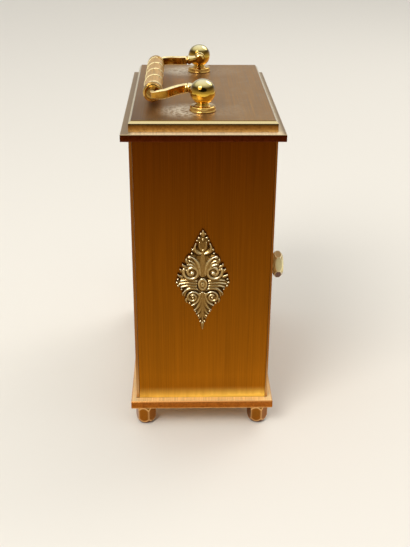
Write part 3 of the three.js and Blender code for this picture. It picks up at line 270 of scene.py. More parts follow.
def painted_ledge_glow(n, colour, metal, strength):
    """A painted reflection of the base plate's bright ledge: a glowing band just over it. Gives the new
    colour, and how metallic it is.
    """
    rise = n.math("POWER", n.spread(n.along("Z"), *LEDGE_GLOW_Z, 1, 0), 1.7)
    towards_door = n.spread(n.along("Y"), -0.026, 0.024, 0.55, 1.0)
    ripple = n.vary(n.noise((500, 500, 60), detail=2), 0.85, 1.15)
    amount = n.product(rise, towards_door, ripple, strength)
    # The glow colour is painted light, strongest low down and towards the door
    return n.mix(amount, colour, srgb("ffcc50")), n.spread(amount, 0, 1, metal, 0.0)


def brushed(name, low, high, grain, roughness=0.36, metal=1.0, ledge_glow_strength=0.0):
    """Brushed brass: streaks along one axis and a painted reflection that changes its tone slowly from low
    to high up.
    """
    n = Finish(name)
    # Painted reflection: the tone goes from the low colour to the high one up the panel
    tone = n.math("POWER", n.spread(n.along("Z"), *PANEL_Z), 0.62)
    colour, streaks = streaked(n, n.mix(tone, srgb(low), srgb(high)), grain)
    if ledge_glow_strength:
        colour, metal = painted_ledge_glow(n, colour, metal, ledge_glow_strength)
    n.set(Base_Color=colour, Metallic=metal, Roughness=n.vary(streaks, roughness - 0.05, roughness + 0.07))
    n.bump(streaks, 0.3, 0.00004)
    return n.material


def frame_brass():
    """Satin brass of the frames, with a painted reflection on the narrow faces that turn to the clock's
    sides, light low down and brown higher up.
    """
    n = Finish("brass_edge")
    colour, streaks = streaked(n, srgb("b87a2c"), FRAME_GRAIN)
    # Painted reflection on the faces that turn sideways, toned by height
    sideways = n.spread(n.math("ABSOLUTE", n.facing("X")), 0.9, 0.98)
    rim = n.product(sideways, n.spread(n.along("Z"), 0.012, 0.113, 1.0, 0.8))
    colour = n.mix(rim, colour, n.ramp(n.spread(n.along("Z"), *FRAME_Z), tones(FRAME_EDGE)))
    n.set(Base_Color=colour, Metallic=1.0, Roughness=n.vary(streaks, 0.26, 0.38))
    n.bump(streaks, 0.3, 0.00004)
    return n.material


def haze_and_grip_shadow(n, upper, up):
    """The face under the handle: a painted shadow of the grip, darker towards one corner, and a dull haze
    round the posts.
    """
    beside_post = (POST_X + 0.0005, 0.0065, TOP_FACE)
    away = n.vector_math("DISTANCE", n.vector_math("ABSOLUTE", n.place()), beside_post, "Value")
    ring = n.spread(away, 0.003, 0.0125, 1, 0, smooth=True)
    patchy = n.spread(n.noise(700, detail=6, roughness=0.75), 0.36, 0.56)
    towards_dial = n.spread(n.along("Y"), -0.001, -0.005, 0.15, 1.0)
    haze = n.product(ring, patchy, n.spread(up, 0.9, 0.99), towards_dial)
    # Painted shadow of the grip, strongest towards the dial side and the near side
    to_dial = n.spread(n.along("Y"), 0.012, -0.026)
    corner = n.product(to_dial, n.spread(n.along("X"), -0.01, 0.044, 0.2, 0.9))
    upper = n.mix(corner, upper, srgb("684620"))
    return n.mix(haze, upper, srgb("d8ccb4")), haze


def plate(name, top, chamfer, edge, edge_z, metal, smudge=0.25, flank=None, carries_handle=False):
    """A brass plate: satin upper face with dull spots, bright chamfers, and edges with painted reflection
    and shade by height.
    """
    n = Finish(name)
    up = n.facing("Z")
    level = n.spread(up, 0.86, 0.97)
    sloping = n.math("SUBTRACT", n.spread(up, 0.3, 0.5), level)
    upper, streaks = streaked(n, srgb(top), LEVEL_GRAIN)
    dust = n.noise(210, detail=6, roughness=0.7)
    upper = n.mix(n.spread(dust, 0.5, 0.72, 0, smudge), upper, srgb("b3a68f"))
    if flank:
        outer = n.spread(n.math("ABSOLUTE", n.along("Y")), 0.0245, 0.0262)
        upper = n.mix(n.product(outer, 0.9), upper, srgb(flank))
    bright = srgb(chamfer)
    shine = n.spread(level, 0, 1, 1.0, metal)
    if carries_handle:
        upper, haze = haze_and_grip_shadow(n, upper, up)
        bright = n.mix(n.spread(n.along("Z"), *CHAMFER_LINE_Z), bright, srgb("7a5a24"))
        shine = n.product(shine, n.spread(haze, 0, 1, 1, 0.2))
    # Painted reflection and shade on the edge, by height
    tone = n.ramp(n.spread(n.along("Z"), *edge_z), tones(edge))
    speckle = n.noise(1200, detail=4, roughness=0.7)
    tone = n.mix(n.spread(speckle, 0.42, 0.66, 0, 0.5), tone, n.mix(1.0, tone, srgb("8a6a48"), "MULTIPLY"))
    n.set(
        Base_Color=n.mix(level, n.mix(sloping, tone, bright), upper),
        Metallic=shine,
        Roughness=n.mix(sloping, n.vary(streaks, 0.32, 0.44), (0.16, 0.16, 0.16, 1)),
    )
    n.bump(streaks, 0.25, 0.00004)
    return n.material


def polished(name, colour, roughness, dull, metal=1.0, rim=None, flange=None):
    """Polished brass, a little aged. Its colour is one code, or painted light, shade and reflection by how
    far it faces up.
    """
    n = Finish(name)
    clouds = n.noise(160, detail=5, roughness=0.65)
    specks = n.noise(1400, detail=3)
    if isinstance(colour, str):
        tone = srgb(colour)
    else:
        # Painted light, shade and reflection by how far the surface faces up
        tone = n.ramp(n.spread(n.facing("Z"), -1, 1), tones(colour))
    if flange:
        tone = n.mix(n.spread(n.along("Z"), *POST_FLANGE_Z), tone, srgb(flange))
    tone = n.mix(n.spread(clouds, 0.4, 0.7, 0, dull), tone, srgb("7c5a1c"))
    tone = n.mix(n.spread(specks, 0.62, 0.75, 0, 0.3), tone, srgb("6b4210"))
    # A rim colour is a painted highlight along the edges that mark() keeps
    if rim:
        tone = n.mix(n.crest(), tone, srgb(rim))
    uneven = n.spread(clouds, 0.35, 0.7, roughness, roughness + 0.12)
    n.set(Base_Color=tone, Metallic=metal, Roughness=uneven)
    n.bump(specks, 0.08, 0.00003)
    return n.material


def antique():
    """Dull cast gold, brown in the hollows, with painted highlights on the crests, painted light where it
    faces up and painted shade where it faces down.
    """
    n = Finish("cast_gold")
    grit = n.noise(2600, detail=3, roughness=0.7)
    # The crest number, with grit, gives brown hollows and painted highlights on the crests
    worn = n.math("ADD", n.crest(), n.vary(grit, -0.1, 0.1))
    # Painted light where the casting faces up, painted shade where it faces down
    worn = n.math("ADD", worn, n.spread(n.facing("Z"), -0.7, 0.7, -0.5, 0.26))
    n.set(Base_Color=n.ramp(worn, tones(CAST_TONES)), Metallic=1.0)
    n.set(Roughness=n.spread(worn, 0.0, 1.0, 0.5, 0.26))
    n.bump(grit, 0.25, 0.00004)
    return n.material


def plain_metal(name, colour, roughness):
    n = Finish(name)
    turned = n.noise(2200, detail=3)
    tone = n.mix(n.spread(turned, 0.4, 0.7, 0, 0.2), srgb(colour), srgb("6c6f72"))
    n.set(Base_Color=tone, Metallic=1.0, Roughness=n.vary(turned, roughness - 0.05, roughness + 0.08))
    n.bump(turned, 0.1, 0.00003)
    return n.material


def moulded(name, colour, roughness):
    n = Finish(name)
    grain = n.noise(5200, detail=2)
    tone = n.mix(n.spread(grain, 0.35, 0.7, 0, 0.25), srgb(colour), srgb("55575a"))
    n.set(Base_Color=tone, Roughness=n.vary(grain, roughness - 0.06, roughness + 0.08))
    n.bump(grain, 0.2, 0.00005)
    return n.material


def lacquer(name, colour, shade, roughness):
    n = Finish(name)
    clouds = n.noise(75, detail=5)
    tone = n.mix(n.spread(clouds, 0.5, 0.75, 0, 0.14), srgb(colour), srgb(shade))
    n.set(Base_Color=tone, Roughness=n.vary(clouds, roughness, roughness + 0.12))
    n.bump(n.noise(900, detail=2), 0.06, 0.00004)
    return n.material


def clear_glass():
    """Glass that lets the lamps through to the dial."""
    n = Finish("clear_glass")
    film = n.noise(60, detail=3)
    n.set(Base_Color=(0.97, 0.985, 0.975, 1), Roughness=n.spread(film, 0.4, 0.8, 0.0, 0.012))
    n.set(IOR=1.46, Transmission_Weight=1.0)
    lamp_ray = n.add("ShaderNodeLightPath").outputs["Is Shadow Ray"]
    either = n.add("ShaderNodeMixShader", Fac=lamp_ray)
    n.put(either.inputs[1], n.shader.outputs["BSDF"])
    n.put(either.inputs[2], n.add("ShaderNodeBsdfTransparent").outputs["BSDF"])
    n.put(n.tree.nodes["Material Output"].inputs["Surface"], either.outputs["Shader"])
    return n.material


materials = {
    "side": brushed("brass_side", "a2600e", "562702", UPRIGHT_GRAIN, ledge_glow_strength=1.35),
    "wall": brushed("brass_wall", "c08a3c", "a06a26", UPRIGHT_GRAIN),
    "edge": frame_brass(),
    "base": plate("brass_base", "f8cf8e", "dc9c58", BASE_EDGE, BASE_EDGE_Z, 0.2),
    "ledge": plate(
        "brass_ledge", "fce6bc", "d0b48a", LOWER_EDGE, LOWER_EDGE_Z, 0.3, smudge=0.35, flank="7c6240"
    ),
    "top": plate("brass_top", "a97f48", "dfcd9a", UPPER_EDGE, UPPER_EDGE_Z, 0.85, carries_handle=True),
    "inner": brushed("brass_inner", "b98d54", "b98d54", DIAL_SIDE_GRAIN),
    "polished": polished("brass_polished", "e2ba58", 0.07, 0.16),
    "ball": polished("brass_ball", PAINTED_BALL_REFLECTIONS, 0.05, 0.12, flange="dcb262"),
    "collar": polished("brass_collar", "bc934a", 0.08, 0.22),
    "amber": polished("brass_amber", "bd8a34", 0.17, 0.2),
    "eye": polished("brass_eye", PAINTED_EYE_LIGHT, 0.07, 0.16),
    "knob": polished("brass_knob", PAINTED_KNOB_LIGHT, 0.16, 0.2, metal=0.2, rim="fbf0c0"),
    "grip": brushed("brass_grip", "dab06e", "dab06e", GRIP_GRAIN, 0.42, 0.7),
    # Bright bead brass is a painted highlight, dark groove brass is painted shade
    "bead": brushed("brass_bead_highlight", "ffeab0", "ffeab0", NO_GRAIN, 0.3, 0.65),
    "groove": polished("brass_groove_shade", "6e4a1c", 0.4, 0.22),
    "foot": polished("brass_foot", PAINTED_FOOT_LIGHT, 0.14, 0.3, rim="eab878"),
    "cast": antique(),
    "steel": plain_metal("bright_steel", "c2c6c9", 0.28),
    "black": moulded("black_moulding", "1c1c1e", 0.5),
    "grey": moulded("grey_moulding", "3c3d40", 0.45),
    "enamel": lacquer("ivory_enamel", "f1ebd9", "8a7c5a", 0.24),
    "ink": lacquer("black_lacquer", "121213", "2c2a26", 0.2),
    "cell": lacquer("cell_film", "2f5d46", "1f4030", 0.3),
    "glass": clear_glass(),
}

# What the CAD nodes that stay are made of, and how far their edges are worn, in mm

NODE_MATERIALS = {
    "side": ("side_panel_left", "side_panel_right"),
    "edge": ("front_frame", "rear_frame"),
    "wall": ("rear_door",),
    "base": ("base_plate",),
    "ledge": ("lower_top_plate",),
    "top": ("upper_top_plate",),
    "inner": ("dial_surround", "dial_plate"),
    "enamel": ("dial_disc",),
    "ink": ("hour_hand", "minute_hand"),
    "black": ("movement_housing",),
    "grey": ("movement_cover", "setting_knob"),
    "cell": ("battery",),
    "glass": ("front_glass",),
    "steel": ("minute_arbor", "door_knob_nut", "door_catch"),
    "polished": ("dial_ring", "movement_nut", "hand_nut", "hour_pipe"),
}
STEEL_PREFIXES = ("top_screw", "dial_screw", "door_pin", "post_nut", "battery_contact")
EDGE_WEAR = {
    "base_plate": 0.16, "lower_top_plate": 0.12, "upper_top_plate": 0.14, "front_frame": 0.1,
    "rear_frame": 0.1, "rear_door": 0.12, "side_panel_left": 0.06, "side_panel_right": 0.06,
}


def paint(obj, key):
    obj.data.materials.clear()
    obj.data.materials.append(materials[key])


def dress_frame():
    for key, names in NODE_MATERIALS.items():
        for name in names:
            paint(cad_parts[name], key)
    for name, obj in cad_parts.items():
        if name.startswith("pillar_"):
            paint(obj, "inner")
        elif name.startswith(STEEL_PREFIXES):
            paint(obj, "steel")


def soften_edges():
    """A fine worn edge on the plates, frames and panels."""
    for name, width in EDGE_WEAR.items():
        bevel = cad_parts[name].modifiers.new("worn_edge", "BEVEL")
        bevel.width = width * MM
        bevel.segments = 2
        bevel.limit_method = "ANGLE"
        bevel.angle_limit = math.radians(25)


# Meshes: shapes are drawn in mm, and pieces are made of points in metres


def mesh_object(name, points, faces, key, body, replaces=None, smooth=True):
    """A piece of the scene, with the body it rides on and the CAD node it stands for."""
    mesh = bpy.data.meshes.new(name)
    mesh.from_pydata([tuple(p) for p in points], [], faces)
    mesh.update()
    obj = bpy.data.objects.new(name, mesh)
    scene.collection.objects.link(obj)
    if smooth:
        mesh.shade_smooth()
    mesh.materials.append(materials[key])
    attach(obj, body)
    if replaces:
        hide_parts(replaces)
    return obj


def mark(obj, values):
    """Keeps a number for each point, which the materials read as how raised it is and where it gets a
    painted highlight.
    """
    layer = obj.data.attributes.new("crest", "FLOAT", "POINT")
    layer.data.foreach_set("value", np.clip(values, 0, 1).astype(np.float32))


def crease(obj, degrees):
    """Keeps edges sharp where faces meet at more than an angle."""
    obj.data.set_sharp_from_angle(angle=math.radians(degrees))


def moved(points, matrix):
    return np.array([matrix @ Vector(p) for p in points])


def merge(*shapes):
    points, faces = [], []
    for shape_points, shape_faces in shapes:
        faces += [[i + len(points) for i in face] for face in shape_faces]
        points += [tuple(p) for p in shape_points]
    return points, faces


def capped_tube(rings, sides):
    """Faces over points that lie ring by ring: the wall's quads, then a cap at each end."""
    last = (rings - 1) * sides
    faces = []
    for start in range(0, last, sides):
        for i in range(sides):
            j = (i + 1) % sides
            faces.append((start + i, start + j, start + sides + j, start + sides + i))
    return [*faces, tuple(reversed(range(sides))), tuple(range(last, last + sides))]


def lathe(profile, segments=72):
    """Points in metres and faces of a turned piece about +Z, from its (radius, height) pairs in mm."""
    points, faces, rings = [], [], []
    for radius, height in profile:
        if radius < TINY:
            rings.append([len(points)] * segments)
            points.append((0, 0, height * MM))
            continue
        rings.append(range(len(points), len(points) + segments))
        for i in range(segments):
            a = 2 * math.pi * i / segments
            points.append((radius * MM * math.cos(a), radius * MM * math.sin(a), height * MM))
    for lower, upper in zip(rings, rings[1:]):
        for i in range(segments):
            j = (i + 1) % segments
            face = list(dict.fromkeys((lower[i], lower[j], upper[j], upper[i])))
            if len(face) > 2:
                faces.append(face)
    return np.array(points), faces


def rounded(profile, radius):
    """The profile with its corners rounded by up to radius, in mm."""
    steps, nearly_straight = 4, math.radians(160)
    result = [profile[0]]
    for before, corner, after in zip(profile, profile[1:], profile[2:]):
        c = Vector(corner)
        back, onward = Vector(before) - c, Vector(after) - c
        if min(back.length, onward.length) < TINY or back.angle(onward) > nearly_straight:
            result.append(corner)
            continue
        reach = min(radius, back.length / 2.2, onward.length / 2.2)
        start, end = c + back.normalized() * reach, c + onward.normalized() * reach
        for i in range(steps + 1):
            t = i / steps
            result.append(tuple(start * (1 - t) ** 2 + c * 2 * t * (1 - t) + end * t * t))
    result.append(profile[-1])
    return result


# The ball posts: a flange, a neck and a ball turned in one, with a boss for the handle's pivot

BALL_RADIUS, BALL_HEIGHT, NECK_RADIUS = 4.4, 6.55, 2.2
POST_FOOT = [
    (0, 0.05), (4.5, 0.05), (4.66, 0.2), (4.66, 0.42), (4.5, 0.6), (4.46, 1.6), (4.2, 1.9),
    (2.95, 1.95), (2.75, 2.1), (2.72, 2.3), (2.3, 2.42), (NECK_RADIUS, 2.5),
]
BOSS = [(0, 0), (1.9, 0), (1.9, 2.9), (0, 2.9)]
BOSS_INWARD = 0.00565  # metres from the ball's middle to the boss's inner end


def ball_posts():
    profile = rounded(POST_FOOT, 0.12)
    neck, steps = math.asin(NECK_RADIUS / BALL_RADIUS), 32
    for i in range(steps):
        a = neck + (math.pi - neck) * i / steps
        profile.append((BALL_RADIUS * math.sin(a), BALL_HEIGHT - BALL_RADIUS * math.cos(a)))
    profile.append((0, BALL_HEIGHT + BALL_RADIUS))
    post, post_faces = lathe(profile)
    boss, boss_faces = lathe(rounded(BOSS, 0.12), 40)
    for name, side in SIDES:
        standing = post + np.array((side * POST_X, CENTRE_Y, TOP_FACE))
        place = Matrix.Translation((side * (POST_X - BOSS_INWARD), CENTRE_Y, PIVOT_Z))
        lying = moved(boss, place @ Matrix.Rotation(side * QUARTER, 4, "Y"))
        points, faces = merge((standing, post_faces), (lying, boss_faces))
        mesh_object(
            f"turned_post_{name}", points, faces, "ball", "case",
            replaces=f"ball_post_{name}",
        )


# Feet and knob: crowned hexagons, each a little turned as it was screwed in by hand

FOOT_TURNS = {"front_left": 8, "front_right": 18, "rear_left": -6, "rear_right": 20}
KNOB_TURN = 9
KNOB_STEM = [(0, -4), (2.4, -4), (2.4, 1), (0, 1)]
HEXAGON_STEPS = 144
FLATS_MEET, CROWN_MEETS = 90, 16  # how sharply flats meet one another, and the crown meets them
# Depths in the crown, and its radius there as shares of that of the flats and of the corners
CROWN_DEPTHS = (0, 0.12, 0.45, 1, 1.6)
CROWN_ON_FLAT, CROWN_ON_CORNER = (0.76, 0.87, 1), (1, 1.12)
# The painted highlight on the edges: its strength on the upright corners, and its width there and on the
# arcs
GLINT_OF_CORNER, CORNER_WIDTH, ARC_WIDTH = 0.6, 0.3, 0.14


def crowned_hexagon(across, height, crown):
    """Points, faces and painted edge highlight of a hexagonal nut whose flats end in arcs. The highlight is
    1 on an edge.
    """
    flat = across / 2
    corner = flat / math.cos(math.pi / 6)
    depths = [crown * share for share in CROWN_DEPTHS]
    limits = [flat * share for share in CROWN_ON_FLAT] + [corner * share for share in CROWN_ON_CORNER]
    rise = [min(crown * 1.5, height * 0.48) * i / 18 for i in range(19)]
    levels = rise + [height - z for z in reversed(rise)]
    points, edge_glint = [], []
    for z in levels:
        limit = np.interp(min(z, height - z), depths, limits)
        for i in range(HEXAGON_STEPS):
            a = 2 * math.pi * i / HEXAGON_STEPS
            facing = [max(0.0, math.cos(a - math.pi / 6 - k * math.pi / 3)) for k in range(6)]
            prism = flat / sum(f**FLATS_MEET for f in facing) ** (1 / FLATS_MEET)
            nearer = math.exp(-CROWN_MEETS * (prism - flat)) + math.exp(-CROWN_MEETS * (limit - flat))
            r = flat - math.log(nearer) / CROWN_MEETS
            along = (a / (math.pi / 3) + 0.5) % 1 - 0.5
            upright = math.exp(-((along * corner / CORNER_WIDTH) ** 2)) * (limit > prism)
            arc = math.exp(-(((prism - limit) / ARC_WIDTH) ** 2))
            edge_glint.append(max(arc, upright * GLINT_OF_CORNER))
            points.append((r * MM * math.cos(a), r * MM * math.sin(a), z * MM))
    return np.array(points), capped_tube(len(levels), HEXAGON_STEPS), edge_glint


def feet():
    points, faces, edge_glint = crowned_hexagon(7, 8.3, 2.3)
    for name, turn in FOOT_TURNS.items():
        x = FOOT_X * (1 if "right" in name else -1)
        y = CENTRE_Y + FOOT_FROM_CENTRE_Y * (1 if "rear" in name else -1)
        place = Matrix.Translation((x, y, 0)) @ Matrix.Rotation(math.radians(turn), 4, "Z")
        foot = mesh_object(
            f"hex_foot_{name}", moved(points, place), faces, "foot", "case",
            replaces=f"foot_{name}",
        )
        mark(foot, edge_glint)
        crease(foot, 60)


def knob():
    points, faces, edge_glint = crowned_hexagon(8.7, 3.7, 1.3)
    stem, stem_faces = lathe(KNOB_STEM, 40)
    points, faces = merge((points, faces), (stem, stem_faces))
    place = Matrix.Translation((KNOB_X, KNOB_Y, DIAL_Z)) @ Matrix.Rotation(-QUARTER, 4, "X")
    place = place @ Matrix.Rotation(math.radians(KNOB_TURN), 4, "Z")
    piece = mesh_object(
        "hex_knob", moved(points, place), faces, "knob", "door", replaces="door_knob"
    )
    mark(piece, edge_glint + [0] * len(stem))
    crease(piece, 60)


# The bail handle, drawn with x along the pivots, y and z from the pivot line

GRIP_HALF, GRIP_RADIUS = 25.2, 3.1
GRIP_Y, GRIP_Z = -17.5, -2.2
COLLAR_LENGTH = 3.4
CLEARANCE = 0.05
BEAD_PITCH, BEAD_HALF, BEAD_HEIGHT, BEAD_PHASE = 10.7, 0.46, 0.31, 0.28
GROOVE_END, GROOVE_DEPTH = 0.75, 0.13
# Faces near the bead take bright brass, a painted highlight, then those of the grooves dark brass, painted
# shade
BRIGHT_WITHIN, DARK_WITHIN = 0.44, 0.74  # from the middle of the bead: its own brass, then its grooves'
GRIP_END, GRIP_END_DEPTH = 0.25, 0.12  # length of the slope at the barrel's ends, and its depth
GRIP_RINGS, GRIP_SIDES = 521, 72


def on_handle(points):
    return np.array(points) + np.array((0, CENTRE_Y, PIVOT_Z))


def grip_radius(away):
    """Radius of the grip at a distance from the middle of its bead, both in mm."""
    if away < BEAD_HALF:
        return GRIP_RADIUS + BEAD_HEIGHT * math.cos(away / BEAD_HALF * QUARTER) ** 0.8
    if away < GROOVE_END:
        share = (away - BEAD_HALF) / (GROOVE_END - BEAD_HALF)
        return GRIP_RADIUS - GROOVE_DEPTH * math.sin(share * math.pi)
    return GRIP_RADIUS


def grip():
    """A satin barrel with one raised bead wound about it, a fine groove on both sides of the bead. The bead
    is painted bright as a highlight, the grooves dark as shade.
    """
    half = GRIP_HALF - COLLAR_LENGTH - CLEARANCE
    points, aways = [], []
    for k in range(GRIP_RINGS):
        x = -half + 2 * half * k / (GRIP_RINGS - 1)
        end = min(1.0, (half - abs(x)) / GRIP_END)
        for i in range(GRIP_SIDES):
            a = 2 * math.pi * i / GRIP_SIDES
            turn = (x / BEAD_PITCH + BEAD_PHASE - a / (2 * math.pi)) % 1.0
            away = min(turn, 1 - turn) * BEAD_PITCH
            r = grip_radius(away) - GRIP_END_DEPTH * (1 - end)
            aways.append(away)
            points.append((x * MM, (GRIP_Y + r * math.cos(a)) * MM, (GRIP_Z + r * math.sin(a)) * MM))
    barrel = mesh_object(
        "wound_grip", on_handle(points), capped_tube(GRIP_RINGS, GRIP_SIDES), "grip", "handle",
        replaces="handle_grip",
    )
    barrel.data.materials.append(materials["bead"])
    barrel.data.materials.append(materials["groove"])
    for face in barrel.data.polygons[:-2]:
        away = sum(aways[v] for v in face.vertices) / 4
        face.material_index = 1 if away < BRIGHT_WITHIN else 2 if away < DARK_WITHIN else 0
    crease(barrel, 50)


def collars():
    start, end = GRIP_HALF - COLLAR_LENGTH, GRIP_HALF
    profile = [(0, start), (3.05, start), (3.35, start + 0.35), (3.35, start + 1.5), (3.0, start + 1.75)]
    profile += [(3.0, start + 2.1), (3.3, start + 2.4), (3.3, end - 0.45), (3.1, end - 0.12), (2.6, end)]
    profile += [(2.2, end - 0.25), (1.3, end - 0.3), (0, end - 0.3)]
    points, faces = lathe(rounded(profile, 0.16))
    for name, side in SIDES:
        place = Matrix.Translation((0, GRIP_Y * MM, GRIP_Z * MM)) @ Matrix.Rotation(side * QUARTER, 4, "Y")
        mesh_object(
            f"turned_collar_{name}", on_handle(moved(points, place)), faces, "collar", "handle",
            replaces=f"grip_collar_{name}",
        )


# The arms: an eye on the pivot, a turned neck, and a bar that bows out and runs to the grip's end

EYE_X, EYE_HALF = 25.0, 0.9
EYE = [(1.02, -EYE_HALF), (2.2, -EYE_HALF), (2.2, EYE_HALF), (1.02, EYE_HALF), (1.02, -EYE_HALF)]
BAR_WIDTH, BAR_HEIGHT, BAR_CHAMFER, BAR_BOW = 1.5, 3.4, 0.42, 3.3
NARROWS_FROM, NARROWS_OVER, LOST_WIDTH, LOST_HEIGHT = 0.55, 0.27, 0.1, 0.36
BAR_FLATS = (3, 7)  # of the eight faces round the bar, the two broad ones
# Shares of GRIP_Y, GRIP_Z and BAR_BOW that the bar has reached at each point of its course
BAR_COURSE = [
    (0.297, 0.34, -0.38), (0.4, 0.43, -0.29), (0.514, 0.52, 0.02), (0.629, 0.64, 0.5), (0.743, 0.8, 0.9),
    (0.869, 0.93, 1.0), (0.971, 1.0, 0.84), (1.0, 1.0, 0.42), (1.0, 1.0, 0.0),
]


def spline(points):
    """Points of a smooth curve through the given ones."""
    steps = 10
    padded = [2 * points[0] - points[1], *points, 2 * points[-1] - points[-2]]
    result = []
    for a, b, c, d in zip(padded, padded[1:], padded[2:], padded[3:]):
        for i in range(steps):
            t = i / steps
            bend = (2 * a - 5 * b + 4 * c - d) * t**2 + (3 * b - a - 3 * c + d) * t**3
            result.append(0.5 * (2 * b + (c - a) * t + bend))
    result.append(points[-1])
    return result


def narrowing(share):
    """The bar's width and height on its way, as shares of what it has at the eye."""
    t = max(0.0, min(1.0, (share - NARROWS_FROM) / NARROWS_OVER))
    return 1 - LOST_WIDTH * t, 1 - LOST_HEIGHT * t * t * (3 - 2 * t)


def bar():
    """Points and faces of the arm's chamfered bar on the right side."""
    w, h, c = BAR_WIDTH / 2, BAR_HEIGHT / 2, BAR_CHAMFER
    upper = [(w, h - c), (w - c, h), (c - w, h), (-w, h - c)]
    outline = upper + [(-x, -y) for x, y in upper]
    path = spline([bar_point(shares) for shares in BAR_COURSE])
    last = len(path) - 1
    points = []
    for k, centre in enumerate(path):
        ahead = (path[min(k + 1, last)] - path[max(k - 1, 0)]).normalized()
        across = Vector((0, 0, 1)).cross(ahead).normalized()
        up = ahead.cross(across).normalized()
        wide, high = narrowing(k / last)
        points += [(centre + across * x * wide + up * y * high) * MM for x, y in outline]
    return points, capped_tube(len(path), len(outline))


def bar_point(shares):
    along, drop, bow = shares
    return Vector((GRIP_HALF + CLEARANCE + bow * BAR_BOW, along * GRIP_Y, drop * GRIP_Z))


def neck(start, end):
    """Points and faces of the turned neck between the eye's middle and the bar's start."""
    away = end - start
    length = away.length
    profile = [(0, 1.7), (1.3, 1.7), (1.32, 2.4), (1.5, length - 1.9), (1.78, length - 1.1)]
    profile += [(1.82, length - 0.6), (1.7, length - 0.38), (1.25, length - 0.3), (1.25, length - 0.1)]
    profile += [(1.5, length + 0.05), (1.5, length + 0.5), (0, length + 0.6)]
    points, faces = lathe(rounded(profile, 0.14), 48)
    along = Matrix.Translation(start * MM) @ away.to_track_quat("Z", "Y").to_matrix().to_4x4()
    return moved(points, along), faces


def pivot_head():
    head = EYE_X - EYE_HALF - 0.15
    profile = [(0, head - 0.8), (1.15, head - 0.8), (1.75, head - 0.35), (1.75, head), (0, head)]
    return lathe(rounded(profile, 0.12), 40)


def arms():
    eye_centre = Vector((EYE_X, 0, 0))
    eye, eye_faces = lathe(rounded(EYE, 0.25), 56)
    eye = moved(eye, Matrix.Translation(eye_centre * MM) @ Matrix.Rotation(QUARTER, 4, "Y"))
    shank = bar()
    right, faces = merge(shank, (eye, eye_faces), neck(eye_centre, bar_point(BAR_COURSE[0])))
    screw, screw_faces = pivot_head()
    for name, side in SIDES:
        outward = faces if side > 0 else [list(reversed(face)) for face in faces]
        arm = mesh_object(
            f"bail_arm_{name}", on_handle(np.array(right) * np.array((side, 1, 1))), outward, "eye",
            "handle", replaces=f"handle_arm_{name}",
        )
        arm.data.materials.append(materials["amber"])
        arm.data.materials.append(materials["bead"])
        # The bar's broad faces take amber brass, its chamfers the bright bead brass as a painted highlight
        for index, face in enumerate(arm.data.polygons[: len(shank[1])]):
            face.material_index = 1 if index % 8 in BAR_FLATS else 2
        crease(arm, 40)
        turned = moved(screw, Matrix.Rotation(side * QUARTER, 4, "Y"))
        mesh_object(
            f"pivot_head_{name}", on_handle(turned), screw_faces, "eye", "case",
            replaces=f"handle_pivot_{name}",
        )


# The lozenge ornament: a relief on a fine grid, drawn from outside with its boss at (0, 0), in mm.
# Only its right half is listed, since x and -x look the same

RISE, FALL, HALF_WIDTH, WAIST = 21.1, 18.4, 9.7, 0.4
GRID = 0.13
WEB, BACK = 0.5, 0.03  # height of the web between the leaves, and of the open back
WEB_REACH = 0.9  # share of the lozenge that the web fills
BOSS_HALF_WIDTH, BOSS_HALF_HEIGHT = 1.8, 2.65
MOAT_REACH, MOAT_HEIGHT = 1.12, 0.1  # the low ring round the boss
WIDE_PASSES = 7
# The crest number, which the casting's tones turn into painted highlights: its base, and what height and
# standing out add to it
CREST_BASE, CREST_BY_HEIGHT, CREST_BY_STEP = 0.36, 0.36, 1.1

LEAVES = [  # start, bend and end of the spine, half width, height, veins
    (((0, 18.5), (0, 19.8), (0, 21.1)), 0.73, 0.85, 0),
    (((0.5, 12.0), (3.9, 12.2), (2.4, 16.2)), 0.92, 0.95, 1),
    (((0.3, 13.2), (1.5, 14.2), (1.15, 16.5)), 0.59, 0.70, 0),
    (((0, 2.6), (0, 8.0), (0, 13.6)), 1.36, 0.85, 0),
    (((0.9, 3.6), (1.1, 9.2), (4.3, 11.0)), 0.85, 1.05, 0),
    (((1.5, 4.2), (2.2, 8.4), (4.9, 9.4)), 0.65, 0.90, 0),
    (((2.2, 5.8), (3.2, 8.0), (5.6, 7.9)), 0.83, 1.05, 1),
    (((4.9, 8.2), (6.0, 8.7), (5.9, 10.0)), 0.68, 0.80, 0),
    (((5.7, 6.7), (7.1, 7.0), (7.2, 8.2)), 0.71, 0.85, 0),
    (((6.5, 4.9), (7.8, 5.0), (8.1, 6.3)), 0.68, 0.80, 0),
    (((7.0, 3.0), (8.4, 2.9), (8.9, 4.1)), 0.65, 0.80, 0),
    (((1.8, 1.1), (5.0, 1.9), (8.2, 1.4)), 0.59, 0.80, 0),
    (((1.8, 0.2), (5.0, 0.8), (8.6, 0.2)), 0.59, 0.85, 0),
    (((1.7, -0.8), (5.0, -0.1), (8.0, -1.1)), 0.65, 0.90, 0),
    (((1.5, -2.0), (4.8, -0.7), (7.2, -3.4)), 0.71, 0.95, 0),
    (((6.3, -3.2), (7.3, -3.4), (7.2, -4.6)), 0.59, 0.75, 0),
    (((5.3, -5.6), (6.3, -6.2), (5.6, -7.4)), 0.65, 0.80, 0),
    (((0.9, -3.4), (1.0, -7.8), (4.2, -8.4)), 0.83, 0.95, 1),
    (((0.6, -5.6), (0.9, -9.6), (3.3, -10.4)), 0.68, 0.85, 0),
    (((0.4, -8.4), (0.7, -11.6), (2.4, -12.0)), 0.54, 0.75, 0),
    (((0.2, -11.2), (0.5, -13.6), (1.5, -13.9)), 0.47, 0.70, 0),
    (((0, -2.8), (0, -8.0), (0, -14.8)), 0.94, 0.80, 0),
    (((0, -15.4), (0, -16.9), (0, -18.4)), 0.66, 0.85, 0),
]
